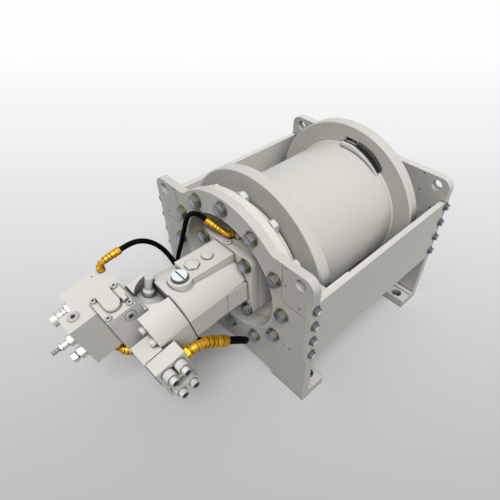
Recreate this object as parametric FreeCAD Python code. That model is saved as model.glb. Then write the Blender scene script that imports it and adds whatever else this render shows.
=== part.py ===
import FreeCAD, Part
import math
import os
from FreeCAD import Placement, Rotation, Vector

# Hydraulic rope winch: two end plates tied by side sheets, a flanged drum between them,
# a planetary gearbox and brake inside the drum, and a motor with its valves on the front plate.
# Axes: Z up, Y along the drum from the motor end (negative) to the far end, X to the right
# as seen from the motor end. Origin at floor level in the middle of the four foot bolts.
# All sizes are millimetres.

# Frame
frame_length = 568.0
plate_width = 580.0
plate_thickness = 22.0
axis_height = 295.0
ear_height = 165.0
ear_corner = 30.0
ear_hole = 30.0
ear_hole_side = 38.0
ear_hole_top = 26.0
hump_margin = 8.0
hump_blend = 40.0
belly_height = 27.5
sheet_thickness = 15.0
sheet_bottom = 190.0
sheet_height = 205.0
sheet_screw_first = 25.5
sheet_screw_pitch = 54.1
sheet_screws_per_corner = 4
marker_hole = 5.0
ear_markers = ((82.0, 8.0), (82.0, 60.0), (37.0, 100.0))
side_markers = ((80.0, 7.0), (60.0, 7.0))
gusset_side = 93.0
gusset_drop = 119.0
gusset_corner = 16.0
seam_width = 1.6
seam_depth = 0.8

# Feet
foot_width = 122.0
foot_reach = 59.0
foot_thickness = 32.0
foot_land = 15.0
foot_seat_step = 3.5
foot_hole = 33.0
foot_hole_side = 38.0
foot_hole_reach = 39.0

# Guides and pads beside the near drum flange
pad_thickness = 3.0
pad_height = 30.0
pad_length = 75.0
guide_length = 42.0
guide_width = 20.0
guide_height = 60.0

# Screws: width across flats, head height, washer diameter and thickness, thread diameter
m12_flats = 18.0
m12_head = 8.0
m12_washer = 24.0
m12_thread = 12.0
m16_flats = 24.0
m16_head = 10.0
m16_washer = 30.0
m16_thread = 16.0
m20_flats = 30.0
m20_head = 12.5
m20_washer = 37.0
m20_thread = 20.0
washer_thickness = 3.0
nut_height = 16.0
hole_clearance = 0.4
screw_run_out = 1.0
nut_run_out = 4.0
sheet_screw_length = 40.0

# Gearbox housing
housing_flange_radius = 222.0
housing_flange = 30.0
flange_seat = 44.0
spigot_wall = 8.5
cup_step = 5.0
recess_depth = 76.0
recess_corner = 15.0
housing_cup_end = 82.0
housing_web = 14.0
labyrinth_gap = 3.0
labyrinth_wall = 12.0
labyrinth_end = 96.0
ring_screw_inset = 19.5
ring_screw_count = 12
spigot_clearance = 0.3
housing_chamfer = 4.0
recess_slope = 5.0
recess_chamfer_start = 14.0
journal_wall = 20.0
shaft_gap = 5.0

# Bearings
front_journal = 120.0
front_bearing_outer = 140.0
front_bearing_width = 36.0
front_bearing_past_rim = 14.0
rear_journal = 60.0
rear_bearing_outer = 95.0
rear_bearing_width = 32.0
seat_clearance = 0.02
running_clearance = 0.06

# Drum
drum_flange_radius = 250.0
drum_flange = 33.5
drum_barrel_radius = 189.5
drum_bore_radius = 175.0
drum_rear_gap = 47.5
drum_front_gap = 67.0
drum_collar = 6.0
drum_edge = 3.0
drum_web = 34.0
rope_diameter = 13.0
rope_slot_inner = 203.0
rope_slot_from = -3.0
rope_slot_to = 8.0
rope_ramp_from = -4.4
rope_ramp_to = 38.0
rope_ramp_width = 16.0
rope_ramp_steps = 8
rope_ramp_root = 6.0
rope_ramp_inset = 0.6
rope_ramp_tip = 1.0
rope_lip_radius = 215.0
rope_lip_end = 203.0
rope_lip_fall_from = 25.0
rope_lip_margin = 1.0
rope_lip_width = 6.0
slot_overlap = 1.0
rope_clamp_turn = 12.0
rope_clamp_height = 34.0
rope_clamp_length = 70.0
rope_clamp_thickness = 12.0

# Gears
gear_module = 5.0
sun_teeth = 18
planet_teeth = 21
planet_count = 3
gear_width = 42.0
gear_backlash = 0.5
pressure_angle = 20.0
addendum = 0.95
dedendum = 1.25
flank_start = 0.2
gear_start = 180.0
carrier_radius = 125.0
carrier_plate = 12.0
carrier_gap = 3.0
carrier_post = 15.0
pin_radius = 14.0
shaft_radius = 20.0

# Brake
brake_half = 97.0
brake_corner = 20.0
brake_front = 21.5
brake_cavity = 80.0
brake_wall = 8.0
disc_thickness = 3.0
disc_gap = 0.8
rotor_discs = 3
rotor_disc_radius = 68.0
stator_disc_inner = 34.0
piston_length = 9.0
spring_count = 8
spring_radius = 4.5
spring_circle = 62.0
brake_port_width = 44.0
brake_port_depth = 30.0
brake_port_height = 13.0
brake_port_x = -10.0
brake_port_rise = 9.8

# Rear hub
rear_spigot_radius = 100.0
rear_flange_radius = 134.0
rear_flange = 16.0
rear_screw_radius = 117.0
rear_screw_count = 8
rear_hub_bore = 30.0
rear_hub_shoulder = 15.0
rear_hub_neck = 14.0
rear_hub_chamfer = 3.0
journal_run_out = 3.0
cover_depth = 12.0
cover_lip = 8.0
cover_thickness = 4.0

# Motor
motor_flange_half = 97.0
motor_flange_corner = 20.0
motor_flange = 23.0
motor_flange_front = -2.0
motor_screw_half = 79.5
motor_half_width_front = 75.0
motor_half_width_end = 88.0
motor_crease = 0.30
motor_top_curve = 1.062
motor_rail_end = 64.0
motor_rail_half_width = 81.0
motor_screw_length = 43.0
motor_end = -178.0
motor_side_drop = 39.0
motor_belly_drop = 82.0
motor_belly_half = 52.0
motor_pad_half = 37.0
motor_pad_top = 92.0
motor_pad_length = 124.0
drain_boss_radius = 29.0
drain_boss_top = 92.0
drain_boss_x = 15.0
drain_boss_y = -146.0
drain_plug_radius = 18.0
drain_plug_height = 9.0
round_plug_radius = 13.0
round_plug_y = -56.0
hex_plug_flats = 32.0
hex_plug_y = -101.0
plug_height = 5.0
plug_slot = 3.5
flange_plug_radius = 9.0
motor_spigot_depth = 12.0

# End assembly, measured in a frame that leans with the motor's end face
lean = 10.8
port_plate_length = 50.0
port_plate_step = 82.0
port_plate_step_gap = 4.0
port_plate_left = -80.0
port_plate_right = 88.0
port_plate_top = 88.0
port_plate_bottom = -45.0
port_plate_shoulder = 30.0
port_plate_crease = 26.0
port_plate_chamfer = 16.0
port_plate_swell = 8.0
port_plate_thread = 10.0
port_plate_head = 19.0
port_plate_screw_length = 30.0
port_plate_screw_places = ((45.0, 58.0), (72.0, 38.0))
stop_pocket_radius = 46.0
stop_pocket_x = -8.0
stop_pocket_floor = 52.0
stop_x = -33.0
stop_y = -20.5
stop_scallop = 3.0
stop_lean = 23.0
stop_radius = 10.0
stop_base_radius = 15.0
stop_height = 50.0
stop_base_height = 12.0
stop_flare = 6.0

manifold_left = 38.0
manifold_right = 96.0
manifold_front = -132.0
manifold_top = 26.0
manifold_bottom = -86.0
port_block_right = 136.0
port_block_front = -130.0
port_block_back = -52.0
port_flange_pitch_y = 31.8
port_flange_pitch_z = 66.7
port_flange_lobe = 14.5
port_flange_thickness = 20.0
port_flange_y = -91.0
port_flange_z = -29.0
port_bore = 32.0
port_depth = 30.0
port_screw_radius = 10.0
port_screw_head = 14.0
port_bolt = 12.0
port_bolt_grip = 18.0
port_flange_wall = 12.0
port_flange_relief = 6.0

valve_left = -155.0
valve_right = -38.0
valve_front = -205.0
valve_back = -58.0
valve_top = 100.0
valve_bottom = -37.0
valve_step_x = -92.0
valve_step_y = -172.0
valve_wide_right = 13.0
valve_wide_front = -134.0
cap_left = -73.0
cap_back = -62.0
cap_thickness = 8.0
cap_screw_inset = 9.0
cap_screw_radius = 6.5
cap_screw_head = 5.0
cap_thread = 6.0
cap_screw_grip = 10.0
cap_boss_half = 18.0
cap_boss_y = -100.0
cap_boss_end = -2.0
cap_boss_setback = 6.0
cap_boss_height = 9.0
socket_plug_radius = 12.0
socket_plug_height = 3.0
top_plug_inset = 32.6
plug_setback = 28.5
plug_drop = 15.0
end_plug_radius = 5.0
counterbalance_inset = 33.0
counterbalance_drop = 23.0
cartridge_inset = 22.0
relief_drop = 41.0
shuttle_drop = 94.0
cap_tab_length = 18.0
cap_tab_width = 10.0
cap_tab_height = 10.0
cap_tab_inset = 4.0
cap_tab_setback = 6.0
valve_foot_drop = 18.0
gauge_hole = 4.0
gauge_hole_depth = 6.0
gauge_hole_inset = 14.0
gauge_hole_setback = 34.0

# Hoses
brake_hose = 13.0
drain_hose = 20.0
hose_port_inset = 14.4
hose_port_setback = 7.3
hose_stem = 14.0
brake_stem_radius = 7.5
brake_sleeve = 42.0
brake_sleeve_radius = 8.2
drain_stem_radius = 12.0
drain_sleeve = 66.0
drain_sleeve_radius = 13.0
drain_end_sleeve = 42.0
drain_port_inset = 16.0
drain_port_drop = 35.0
drain_elbow_inset = 28.0
drain_elbow_setback = 58.0
drain_elbow_drop = 32.0

# Levels and faces that follow from the sizes above
front = -frame_length / 2.0
rear = frame_length / 2.0
front_inner = front + plate_thickness
rear_inner = rear - plate_thickness
half_width = plate_width / 2.0
sheet_top = sheet_bottom + sheet_height
ear_top = axis_height + ear_height
drum_front = front_inner + drum_front_gap
drum_wall_front = drum_front + drum_flange
drum_rear = rear_inner - drum_rear_gap
drum_wall_rear = drum_rear - drum_flange
spigot_radius = housing_flange_radius - flange_seat
recess_radius = spigot_radius - spigot_wall
recess_floor_radius = recess_radius - recess_corner
housing_cup_radius = spigot_radius + cup_step
labyrinth_radius = drum_bore_radius - labyrinth_gap
labyrinth_inner = labyrinth_radius - labyrinth_wall
ring_screw_radius = housing_flange_radius - ring_screw_inset
hump_radius = housing_flange_radius + hump_margin
ring_teeth = sun_teeth + 2 * planet_teeth
planet_circle = gear_module * (sun_teeth + planet_teeth) / 2.0
across = Vector(0, 1, 0)
right = Vector(1, 0, 0)
up = Vector(0, 0, 1)
centre = Vector(0, 0, axis_height)


# Shapes in common use

def box(x0, x1, y0, y1, z0, z1):
    return Part.makeBox(x1 - x0, y1 - y0, z1 - z0, Vector(x0, y0, z0))


def rod(radius, start, along, length):
    return Part.makeCylinder(radius, length, start, along)


def tube(outer, inner, start, along, length):
    return rod(outer, start, along, length).cut(rod(inner, start, along, length))


def turned(points):
    """Solid turned about the drum axis from points of (radius, y)."""
    corners = [Vector(r, y, axis_height) for r, y in points]
    face = Part.Face(Part.makePolygon(corners + [corners[0]]))
    return face.revolve(centre, across, 360)


def disc(outer, inner, y0, y1):
    return turned([(inner, y0), (outer, y0), (outer, y1), (inner, y1)])


def around(radius, angle, y):
    """Point at a clock angle round the drum axis, in degrees from the top towards +X."""
    a = math.radians(angle)
    return Vector(radius * math.sin(a), y, axis_height + radius * math.cos(a))


def hexagon(flats, start, along, height):
    """Hexagonal prism standing on start."""
    reach = flats / math.sqrt(3.0)
    corners = []
    for k in range(7):
        a = math.radians(60 * k)
        corners.append(Vector(reach * math.cos(a), reach * math.sin(a), 0))
    prism = Part.Face(Part.makePolygon(corners)).extrude(Vector(0, 0, height))
    prism.Placement = Placement(start, Rotation(up, along))
    return prism


def hex_screw(seat, inward, flats, head, washer, thread, length):
    """Screw whose washer sits on the seat, with its shank running inward."""
    outward = inward * -1.0
    shank = rod(thread / 2.0, seat, inward, length)
    ring = rod(washer / 2.0, seat, outward, washer_thickness)
    top = hexagon(flats, seat + outward * washer_thickness, outward, head)
    return shank.fuse([ring, top]).removeSplitter()


def socket_screw(seat, inward, radius, head, thread, length):
    """Cap screw with a hexagon socket in its head."""
    outward = inward * -1.0
    shank = rod(thread / 2.0, seat, inward, length)
    top = rod(radius, seat, outward, head)
    socket = hexagon(radius, seat + outward * (head * 0.4), outward, head)
    return shank.fuse(top).cut(socket).removeSplitter()


def rounded_square(half, corner, y0, y1):
    block = box(-half, half, y0, y1, axis_height - half, axis_height + half)
    edges = [e for e in block.Edges if abs(abs(e.tangentAt(0).y) - 1.0) < 1e-6]
    return block.makeFillet(corner, edges)


def leaned(shape):
    """Carry a shape from the leaning end frame into the winch's frame."""
    copy = shape.copy()
    place = Placement(Vector(0, front + motor_end, axis_height), Rotation(right, lean))
    copy.Placement = place.multiply(copy.Placement)
    return copy


def stop_axis():
    return Rotation(right, -stop_lean).multVec(up)


def leaned_point(x, y, z):
    place = Placement(Vector(0, front + motor_end, axis_height), Rotation(right, lean))
    return place.multVec(Vector(x, y, z))


def group(solids):
    return Part.makeCompound(solids)


def save(name, shape):
    shape.exportStep("parts/" + name + ".step")


# End plates

def side_edges():
    """Right side of an end plate: foot, notch for the side sheet and rounded ear."""
    rim = half_width
    notch = half_width - sheet_thickness
    foot_edge = half_width - foot_width
    path = [Vector(0, 0, belly_height), Vector(foot_edge, 0, belly_height), Vector(foot_edge, 0, 0)]
    path += [Vector(rim, 0, 0), Vector(rim, 0, sheet_bottom), Vector(notch, 0, sheet_bottom)]
    path += [Vector(notch, 0, sheet_top), Vector(rim, 0, sheet_top), Vector(rim, 0, ear_top - ear_corner)]
    edges = [Part.LineSegment(a, b).toShape() for a, b in zip(path, path[1:])]
    bulge = ear_corner * (1 - math.sqrt(0.5))
    corner = Vector(rim - bulge, 0, ear_top - bulge)
    edges.append(Part.Arc(path[-1], corner, Vector(rim - ear_corner, 0, ear_top)).toShape())
    return edges


def hump_edges():
    """Top of the front plate: a fillet that rises from the ear into the arc round the drum axis."""
    rise = ear_height + hump_blend
    blend_x = math.sqrt((hump_radius + hump_blend) ** 2 - rise ** 2)
    blend_centre = Vector(blend_x, 0, ear_top + hump_blend)
    tilt = math.atan2(blend_x, rise)
    meet = centre + Vector(hump_radius * math.sin(tilt), 0, hump_radius * math.cos(tilt))
    crown_mid = centre + Vector(hump_radius * math.sin(tilt / 2.0), 0, hump_radius * math.cos(tilt / 2.0))
    crown = centre + Vector(0, 0, hump_radius)
    half_bend = tilt / 2.0
    blend_mid = blend_centre - Vector(hump_blend * math.sin(half_bend), 0, hump_blend * math.cos(half_bend))
    ear_end = Vector(half_width - ear_corner, 0, ear_top)
    level = Part.LineSegment(ear_end, Vector(blend_x, 0, ear_top)).toShape()
    blend = Part.Arc(Vector(blend_x, 0, ear_top), blend_mid, meet).toShape()
    return [level, blend, Part.Arc(meet, crown_mid, crown).toShape()], crown


def half_outline(humped):
    """Right half of an end plate's outline."""
    edges = side_edges()
    if humped:
        top, crown = hump_edges()
        edges += top
    else:
        crown = Vector(0, 0, ear_top)
        edges.append(Part.LineSegment(Vector(half_width - ear_corner, 0, ear_top), crown).toShape())
    edges.append(Part.LineSegment(crown, Vector(0, 0, belly_height)).toShape())
    return Part.Wire(edges)


def sheet_screw_levels():
    first = sheet_bottom + sheet_screw_first
    return [first + k * sheet_screw_pitch for k in range(sheet_screws_per_corner)]


def sheet_screw_seats():
    """Seats of the screws that tie the sheets to the plates, with their inward direction."""
    seats = []
    for side in (-1, 1):
        for y in (front + plate_thickness / 2.0, rear - plate_thickness / 2.0):
            for z in sheet_screw_levels():
                seats.append((Vector(side * half_width, y, z), Vector(-side, 0, 0)))
    return seats


def ear_seam(y_face, outward):
    """Shallow groove along the weld between each ear piece and the plate."""
    grooves = []
    top = ear_top
    bottom = top - gusset_drop
    inner = half_width - gusset_side
    outer = half_width - sheet_thickness
    deep = sorted([y_face, y_face - outward * seam_depth])
    for side in (-1, 1):
        xs = sorted([side * inner, side * (inner + seam_width)])
        grooves.append(box(xs[0], xs[1], deep[0], deep[1], bottom + gusset_corner, top))
        xs = sorted([side * (inner + gusset_corner), side * outer])
        grooves.append(box(xs[0], xs[1], deep[0], deep[1], bottom, bottom + seam_width))
        hub = Vector(side * (inner + gusset_corner), deep[0], bottom + gusset_corner)
        bend = tube(gusset_corner, gusset_corner - seam_width, hub, across, seam_depth)
        xs = sorted([side * inner, side * (inner + gusset_corner)])
        grooves.append(bend.common(box(xs[0], xs[1], deep[0], deep[1], bottom, bottom + gusset_corner)))
    return grooves


def ear_space(side, y0):
    """Space that an ear piece fills: a rectangle with a round inner corner, let into the plate."""
    bottom = ear_top - gusset_drop
    inner = half_width - gusset_side
    xs = sorted([side * inner, side * half_width])
    block = box(xs[0], xs[1], y0, y0 + plate_thickness, bottom, ear_top)
    corners = [e for e in block.Edges if abs(abs(e.tangentAt(0).y) - 1.0) < 1e-6]
    corners = [e for e in corners if abs(e.Vertexes[0].X) < inner + 1.0 and e.Vertexes[0].Z < bottom + 1.0]
    return block.makeFillet(gusset_corner, corners)


def end_plate(y0, face_y, outward, bore, humped):
    """Plate with its holes, as the plate proper and the two ear pieces welded into it."""
    half = Part.Face(half_outline(humped)).extrude(Vector(0, plate_thickness, 0))
    whole = half.fuse(half.mirror(Vector(0, 0, 0), right)).removeSplitter()
    whole.translate(Vector(0, y0, 0))
    cuts = [rod(bore, Vector(0, y0, axis_height), across, plate_thickness)]
    ear_x = half_width - ear_hole_side
    ear_z = ear_top - ear_hole_top
    markers = [(inset, ear_top - drop) for inset, drop in ear_markers]
    markers += [(inset, sheet_bottom - drop) for inset, drop in side_markers]
    for side in (-1, 1):
        cuts.append(rod(ear_hole / 2.0, Vector(side * ear_x, y0, ear_z), across, plate_thickness))
        for inset, z in markers:
            mark = Vector(side * (half_width - inset), y0, z)
            cuts.append(rod(marker_hole / 2.0, mark, across, plate_thickness))
    for seat, inward in sheet_screw_seats():
        if abs(seat.y - (y0 + plate_thickness / 2.0)) < 1.0:
            depth = sheet_screw_length + screw_run_out
            cuts.append(rod(m12_thread / 2.0 + hole_clearance, seat, inward, depth))
    cuts += ear_seam(face_y, outward)
    plate = whole.cut(cuts)
    spaces = [ear_space(side, y0) for side in (-1, 1)]
    return plate.cut(spaces), [plate.common(space) for space in spaces]


def front_plate():
    plate, ears = end_plate(front, front, -1, spigot_radius, True)
    holes = []
    for k in range(ring_screw_count):
        start = around(ring_screw_radius, k * 360.0 / ring_screw_count, front)
        holes.append(rod(m20_thread / 2.0 + hole_clearance, start, across, plate_thickness))
    return group([plate.cut(holes)] + ears)


def rear_plate():
    plate, ears = end_plate(rear_inner, rear, 1, rear_spigot_radius, False)
    holes = []
    for k in range(rear_screw_count):
        start = around(rear_screw_radius, k * 360.0 / rear_screw_count, rear_inner)
        holes.append(rod(m16_thread / 2.0 + hole_clearance, start, across, plate_thickness))
    return group([plate.cut(holes)] + ears)


def side_sheet(side):
    xs = sorted([side * half_width, side * (half_width - sheet_thickness)])
    sheet = box(xs[0], xs[1], front, rear, sheet_bottom, sheet_top)
    holes = []
    for seat, inward in sheet_screw_seats():
        if seat.x * side > 0:
            holes.append(rod(m12_thread / 2.0 + hole_clearance, seat, inward, sheet_thickness))
    return sheet.cut(holes)


def foot(side, end):
    """Foot bar under the drum with a raised land by the plate and a machined bolt seat."""
    xs = sorted([side * half_width, side * (half_width - foot_width)])
    wall = front_inner if end < 0 else rear_inner
    toe = wall - end * foot_reach
    land = wall - end * foot_land
    ys = sorted([wall, toe])
    body = box(xs[0], xs[1], ys[0], ys[1], 0, foot_thickness)
    cut = sorted([land, toe])
    step = box(xs[0], xs[1], cut[0], cut[1], foot_thickness - foot_seat_step, foot_thickness)
    bolt = Vector(side * (half_width - foot_hole_side), wall - end * foot_hole_reach, 0)
    return body.cut([step, rod(foot_hole / 2.0, bolt, up, foot_thickness)])


def sheet_screws():
    screws = []
    length = sheet_screw_length
    for seat, inward in sheet_screw_seats():
        screws.append(hex_screw(seat, inward, m12_flats, m12_head, m12_washer, m12_thread, length))
    return group(screws)


def flange_pads():
    """Thin wear pads on the inside of the sheets beside the near drum flange."""
    pads = []
    for side in (-1, 1):
        face = side * (half_width - sheet_thickness)
        xs = sorted([face, face - side * pad_thickness])
        y0 = front_inner + guide_length
        pads.append(box(xs[0], xs[1], y0, y0 + pad_length, sheet_top - pad_height, sheet_top))
    return group(pads)


def flange_guides():
    """Blocks between the front plate and the near drum flange at each sheet."""
    guides = []
    for side in (-1, 1):
        face = side * (half_width - sheet_thickness)
        xs = sorted([face, face - side * guide_width])
        y1 = front_inner + guide_length
        guides.append(box(xs[0], xs[1], front_inner, y1, sheet_top - guide_height, sheet_top))
    return group(guides)


# Gearbox housing, bearings and rear hub

def gearbox_housing():
    """Fixed cup: flange ring with its spigot in the plate, and the cup with the drum's journal."""
    lip = spigot_radius - spigot_clearance
    ring_end = front_inner + housing_flange
    ring = turned([
        (recess_radius, front),
        (lip, front),
        (lip, front_inner),
        (housing_flange_radius, front_inner),
        (housing_flange_radius, ring_end - housing_chamfer),
        (housing_flange_radius - housing_chamfer, ring_end),
        (recess_radius, ring_end),
    ])
    holes = []
    for k in range(ring_screw_count):
        start = around(ring_screw_radius, k * 360.0 / ring_screw_count, front_inner)
        holes.append(rod(m20_thread / 2.0 + hole_clearance, start, across, housing_flange))
    return group([ring.cut(holes), gearbox_cup(ring_end)])


def gearbox_cup(ring_end):
    """Cup behind the flange ring: floor of the motor recess, dirt lip in the drum and journal."""
    floor = front + recess_depth
    web_end = floor + housing_web
    journal_end = front + gear_start - carrier_plate - carrier_gap
    return turned([
        (recess_radius, ring_end),
        (housing_cup_radius, ring_end),
        (housing_cup_radius, front + housing_cup_end),
        (labyrinth_radius, front + housing_cup_end),
        (labyrinth_radius, front + labyrinth_end),
        (labyrinth_inner, front + labyrinth_end),
        (labyrinth_inner, web_end),
        (front_journal, web_end),
        (front_journal, journal_end),
        (front_journal - journal_wall, journal_end),
        (front_journal - journal_wall, web_end),
        (shaft_radius + shaft_gap, web_end),
        (shaft_radius + shaft_gap, floor),
        (recess_floor_radius, floor),
        (recess_radius - recess_slope, floor - recess_chamfer_start),
    ])


def ring_screws():
    screws = []
    length = plate_thickness + housing_flange + washer_thickness + nut_height + nut_run_out
    for k in range(ring_screw_count):
        seat = around(ring_screw_radius, k * 360.0 / ring_screw_count, front)
        screws.append(hex_screw(seat, across, m20_flats, m20_head, m20_washer, m20_thread, length))
    return group(screws)


def ring_nuts():
    nuts = []
    back = front_inner + housing_flange
    for k in range(ring_screw_count):
        seat = around(ring_screw_radius, k * 360.0 / ring_screw_count, back)
        washer = rod(m20_washer / 2.0, seat, across, washer_thickness)
        body = hexagon(m20_flats, seat + across * washer_thickness, across, nut_height)
        bore = rod(m20_thread / 2.0 + seat_clearance, seat, across, nut_height + washer_thickness)
        nuts.append(washer.fuse(body).cut(bore).removeSplitter())
    return group(nuts)


def front_bearing():
    y0 = drum_wall_front - front_bearing_width + front_bearing_past_rim
    return disc(front_bearing_outer, front_journal + seat_clearance, y0, y0 + front_bearing_width)


def rear_bearing():
    y0 = drum_wall_rear
    return disc(rear_bearing_outer, rear_journal + seat_clearance, y0, y0 + rear_bearing_width)


def rear_hub():
    """Flanged journal bolted to the outside of the rear plate, carrying the drum's far end."""
    spigot = rear_spigot_radius - spigot_clearance
    outline = [
        (rear_hub_bore, rear + rear_flange),
        (rear_flange_radius - rear_hub_chamfer, rear + rear_flange),
        (rear_flange_radius, rear + rear_flange - rear_hub_chamfer),
        (rear_flange_radius, rear),
        (spigot, rear),
        (spigot, rear_inner),
        (rear_journal + rear_hub_shoulder, rear_inner - rear_hub_neck),
        (rear_journal + rear_hub_shoulder, drum_rear + journal_run_out),
        (rear_journal, drum_rear + journal_run_out),
        (rear_journal, drum_wall_rear - journal_run_out),
        (rear_hub_bore, drum_wall_rear - journal_run_out),
    ]
    hub = turned(outline)
    holes = []
    for k in range(rear_screw_count):
        start = around(rear_screw_radius, k * 360.0 / rear_screw_count, rear)
        holes.append(rod(m16_thread / 2.0 + hole_clearance, start, across, rear_flange))
    return hub.cut(holes)


def rear_screws():
    screws = []
    inward = across * -1.0
    length = rear_flange + plate_thickness
    for k in range(rear_screw_count):
        seat = around(rear_screw_radius, k * 360.0 / rear_screw_count, rear + rear_flange)
        screws.append(hex_screw(seat, inward, m16_flats, m16_head, m16_washer, m16_thread, length))
    return group(screws)


def hub_cover():
    """Turned cap closing the bore of the rear hub."""
    rim = rear_hub_bore - seat_clearance
    y = rear + rear_flange
    lip = rim + cover_lip
    inner = y - cover_depth
    outer = y + cover_thickness
    return turned([(0, inner), (rim, inner), (rim, y), (lip, y), (lip, outer), (0, outer)])


# Drum and rope anchorage

def sector(inner, outer, start, stop, y0, y1):
    """Block between two radii and two clock angles."""
    reach = outer * 3.0
    a = around(reach, start, y0)
    m = around(reach, (start + stop) / 2.0, y0)
    b = around(reach, stop, y0)
    hub = Vector(0, y0, axis_height)
    wedge = Part.Face(Part.makePolygon([hub, a, m, b, hub])).extrude(Vector(0, y1 - y0, 0))
    return disc(outer, inner, y0, y1).common(wedge)


def drum():
    """Welded drum: near rim with its bearing web, barrel, and far rim with its bearing seat."""
    slot_outer = rope_slot_inner + rope_diameter - slot_overlap
    slot = sector(rope_slot_inner, slot_outer, rope_slot_from, rope_slot_to, drum_wall_rear, drum_rear)
    return group([drum_near_rim(), drum_barrel(), drum_far_rim().cut(slot)])


def drum_near_rim():
    """Rim with a web set inwards that holds the near bearing."""
    web_front = drum_wall_front - front_bearing_width + front_bearing_past_rim
    web_end = web_front + drum_web
    rim = drum_flange_radius
    bore = front_bearing_outer + running_clearance
    return turned([
        (bore, web_front),
        (drum_bore_radius, web_front),
        (drum_bore_radius, drum_front),
        (rim - drum_edge, drum_front),
        (rim, drum_front + drum_edge),
        (rim, drum_wall_front - drum_edge),
        (rim - drum_edge, drum_wall_front),
        (drum_bore_radius, drum_wall_front),
        (drum_bore_radius, web_end),
        (bore, web_end),
    ])


def drum_barrel():
    """Tube between the rims, thickened to a collar at each of them."""
    barrel = drum_barrel_radius
    return turned([
        (drum_bore_radius, drum_wall_front),
        (barrel + drum_collar, drum_wall_front),
        (barrel, drum_wall_front + drum_collar),
        (barrel, drum_wall_rear - drum_collar),
        (barrel + drum_collar, drum_wall_rear),
        (drum_bore_radius, drum_wall_rear),
    ])


def drum_far_rim():
    """Rim disc that reaches in to the far bearing."""
    rim = drum_flange_radius
    bore = rear_bearing_outer + running_clearance
    return turned([
        (bore, drum_wall_rear),
        (rim - drum_edge, drum_wall_rear),
        (rim, drum_wall_rear + drum_edge),
        (rim, drum_rear - drum_edge),
        (rim - drum_edge, drum_rear),
        (bore, drum_rear),
    ])


def arc_points(radius, start, stop, steps, y):
    """Points on a circle round the drum axis between two clock angles."""
    span = (stop - start) / steps
    return [around(radius, start + k * span, y) for k in range(steps + 1)]


def falling(angle, start, stop, high, low):
    """Radius that stays high up to a clock angle and then falls evenly to low."""
    share = max(0.0, (angle - start) / (stop - start))
    return high - (high - low) * share


def rope_wedge():
    """Ramp that lifts the first turn of rope to the slot in the far rim, with its lip."""
    y1 = drum_wall_rear
    base = drum_barrel_radius + seat_clearance
    root = base - rope_ramp_root
    barrel = turned([
        (0, y1 - rope_ramp_width),
        (base, y1 - rope_ramp_width),
        (base, y1 - drum_collar),
        (base + drum_collar, y1),
        (0, y1),
    ])
    crest = []
    for k in range(rope_ramp_steps + 1):
        angle = rope_ramp_from + k * (rope_ramp_to - rope_ramp_from) / rope_ramp_steps
        top = rope_slot_inner - rope_ramp_inset
        radius = falling(angle, rope_slot_to, rope_ramp_to, top, base + rope_ramp_tip)
        crest.append(around(radius, angle, y1))
    under = arc_points(root, rope_ramp_to, rope_ramp_from, rope_ramp_steps, y1)
    ramp = Part.Face(Part.makePolygon(crest + under + [crest[0]])).extrude(Vector(0, -rope_ramp_width, 0))
    lip = []
    lip_from = rope_slot_to + rope_lip_margin
    lip_to = rope_ramp_to - rope_lip_margin
    for k in range(rope_ramp_steps + 1):
        angle = lip_from + k * (lip_to - lip_from) / rope_ramp_steps
        radius = falling(angle, rope_lip_fall_from, rope_ramp_to, rope_lip_radius, rope_lip_end)
        lip.append(around(radius, angle, y1))
    under = arc_points(root, lip_to, lip_from, rope_ramp_steps, y1)
    edge = Part.Face(Part.makePolygon(lip + under + [lip[0]])).extrude(Vector(0, -rope_lip_width, 0))
    return ramp.fuse(edge).cut(barrel).removeSplitter()


def clamp_centre():
    return around(rope_slot_inner + rope_diameter / 2.0, rope_slot_to + rope_clamp_turn, drum_rear)


def rope_clamp():
    """Plate that pinches the rope end against the outside of the far rim."""
    middle = clamp_centre()
    x0 = middle.x - rope_clamp_length / 2.0
    z0 = middle.z - rope_clamp_height / 2.0
    y1 = drum_rear + rope_clamp_thickness
    plate = box(x0, x0 + rope_clamp_length, drum_rear, y1, z0, z0 + rope_clamp_height)
    groove = rod(rope_diameter / 2.0, Vector(x0, drum_rear, middle.z), right, rope_clamp_length)
    return plate.cut(groove)


def rope_clamp_screws():
    middle = clamp_centre()
    screws = []
    for shift in (-1, 1):
        seat = Vector(middle.x + shift * rope_clamp_length / 4.0, drum_rear + rope_clamp_thickness, middle.z)
        head = hexagon(m12_flats, seat, across, m12_head)
        screws.append(head)
    return group(screws)


# Gears

def involute_angle(radius, base):
    """Polar angle of an involute at a radius, from its start on the base circle."""
    if radius <= base:
        return 0.0
    t = math.sqrt((radius / base) ** 2 - 1.0)
    return t - math.atan(t)


def flank(teeth, radius, thinning):
    """Half angle of a tooth at a radius, in radians."""
    pitch = gear_module * teeth / 2.0
    base = pitch * math.cos(math.radians(pressure_angle))
    at_pitch = math.pi / (2.0 * teeth) - thinning / (2.0 * pitch)
    return at_pitch + involute_angle(pitch, base) - involute_angle(radius, base)


def gear_outline(teeth, tip, root, thinning, turn, middle):
    """Closed outline of a toothed rim, a tooth centred on the clock angle turn."""
    pitch = gear_module * teeth / 2.0
    low, high = min(tip, root), max(tip, root)
    base = pitch * math.cos(math.radians(pressure_angle))
    start = max(low, base + flank_start)
    levels = [low, (start + pitch) / 2.0, (pitch + high) / 2.0, high]
    points = []
    for k in range(teeth):
        mid = math.radians(turn) + 2.0 * math.pi * k / teeth
        for radius in levels:
            points.append((radius, mid - flank(teeth, radius, thinning)))
        for radius in reversed(levels):
            points.append((radius, mid + flank(teeth, radius, thinning)))
    corners = [Vector(middle.x + r * math.sin(a), middle.y, middle.z + r * math.cos(a)) for r, a in points]
    return Part.makePolygon(corners + [corners[0]])


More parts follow.
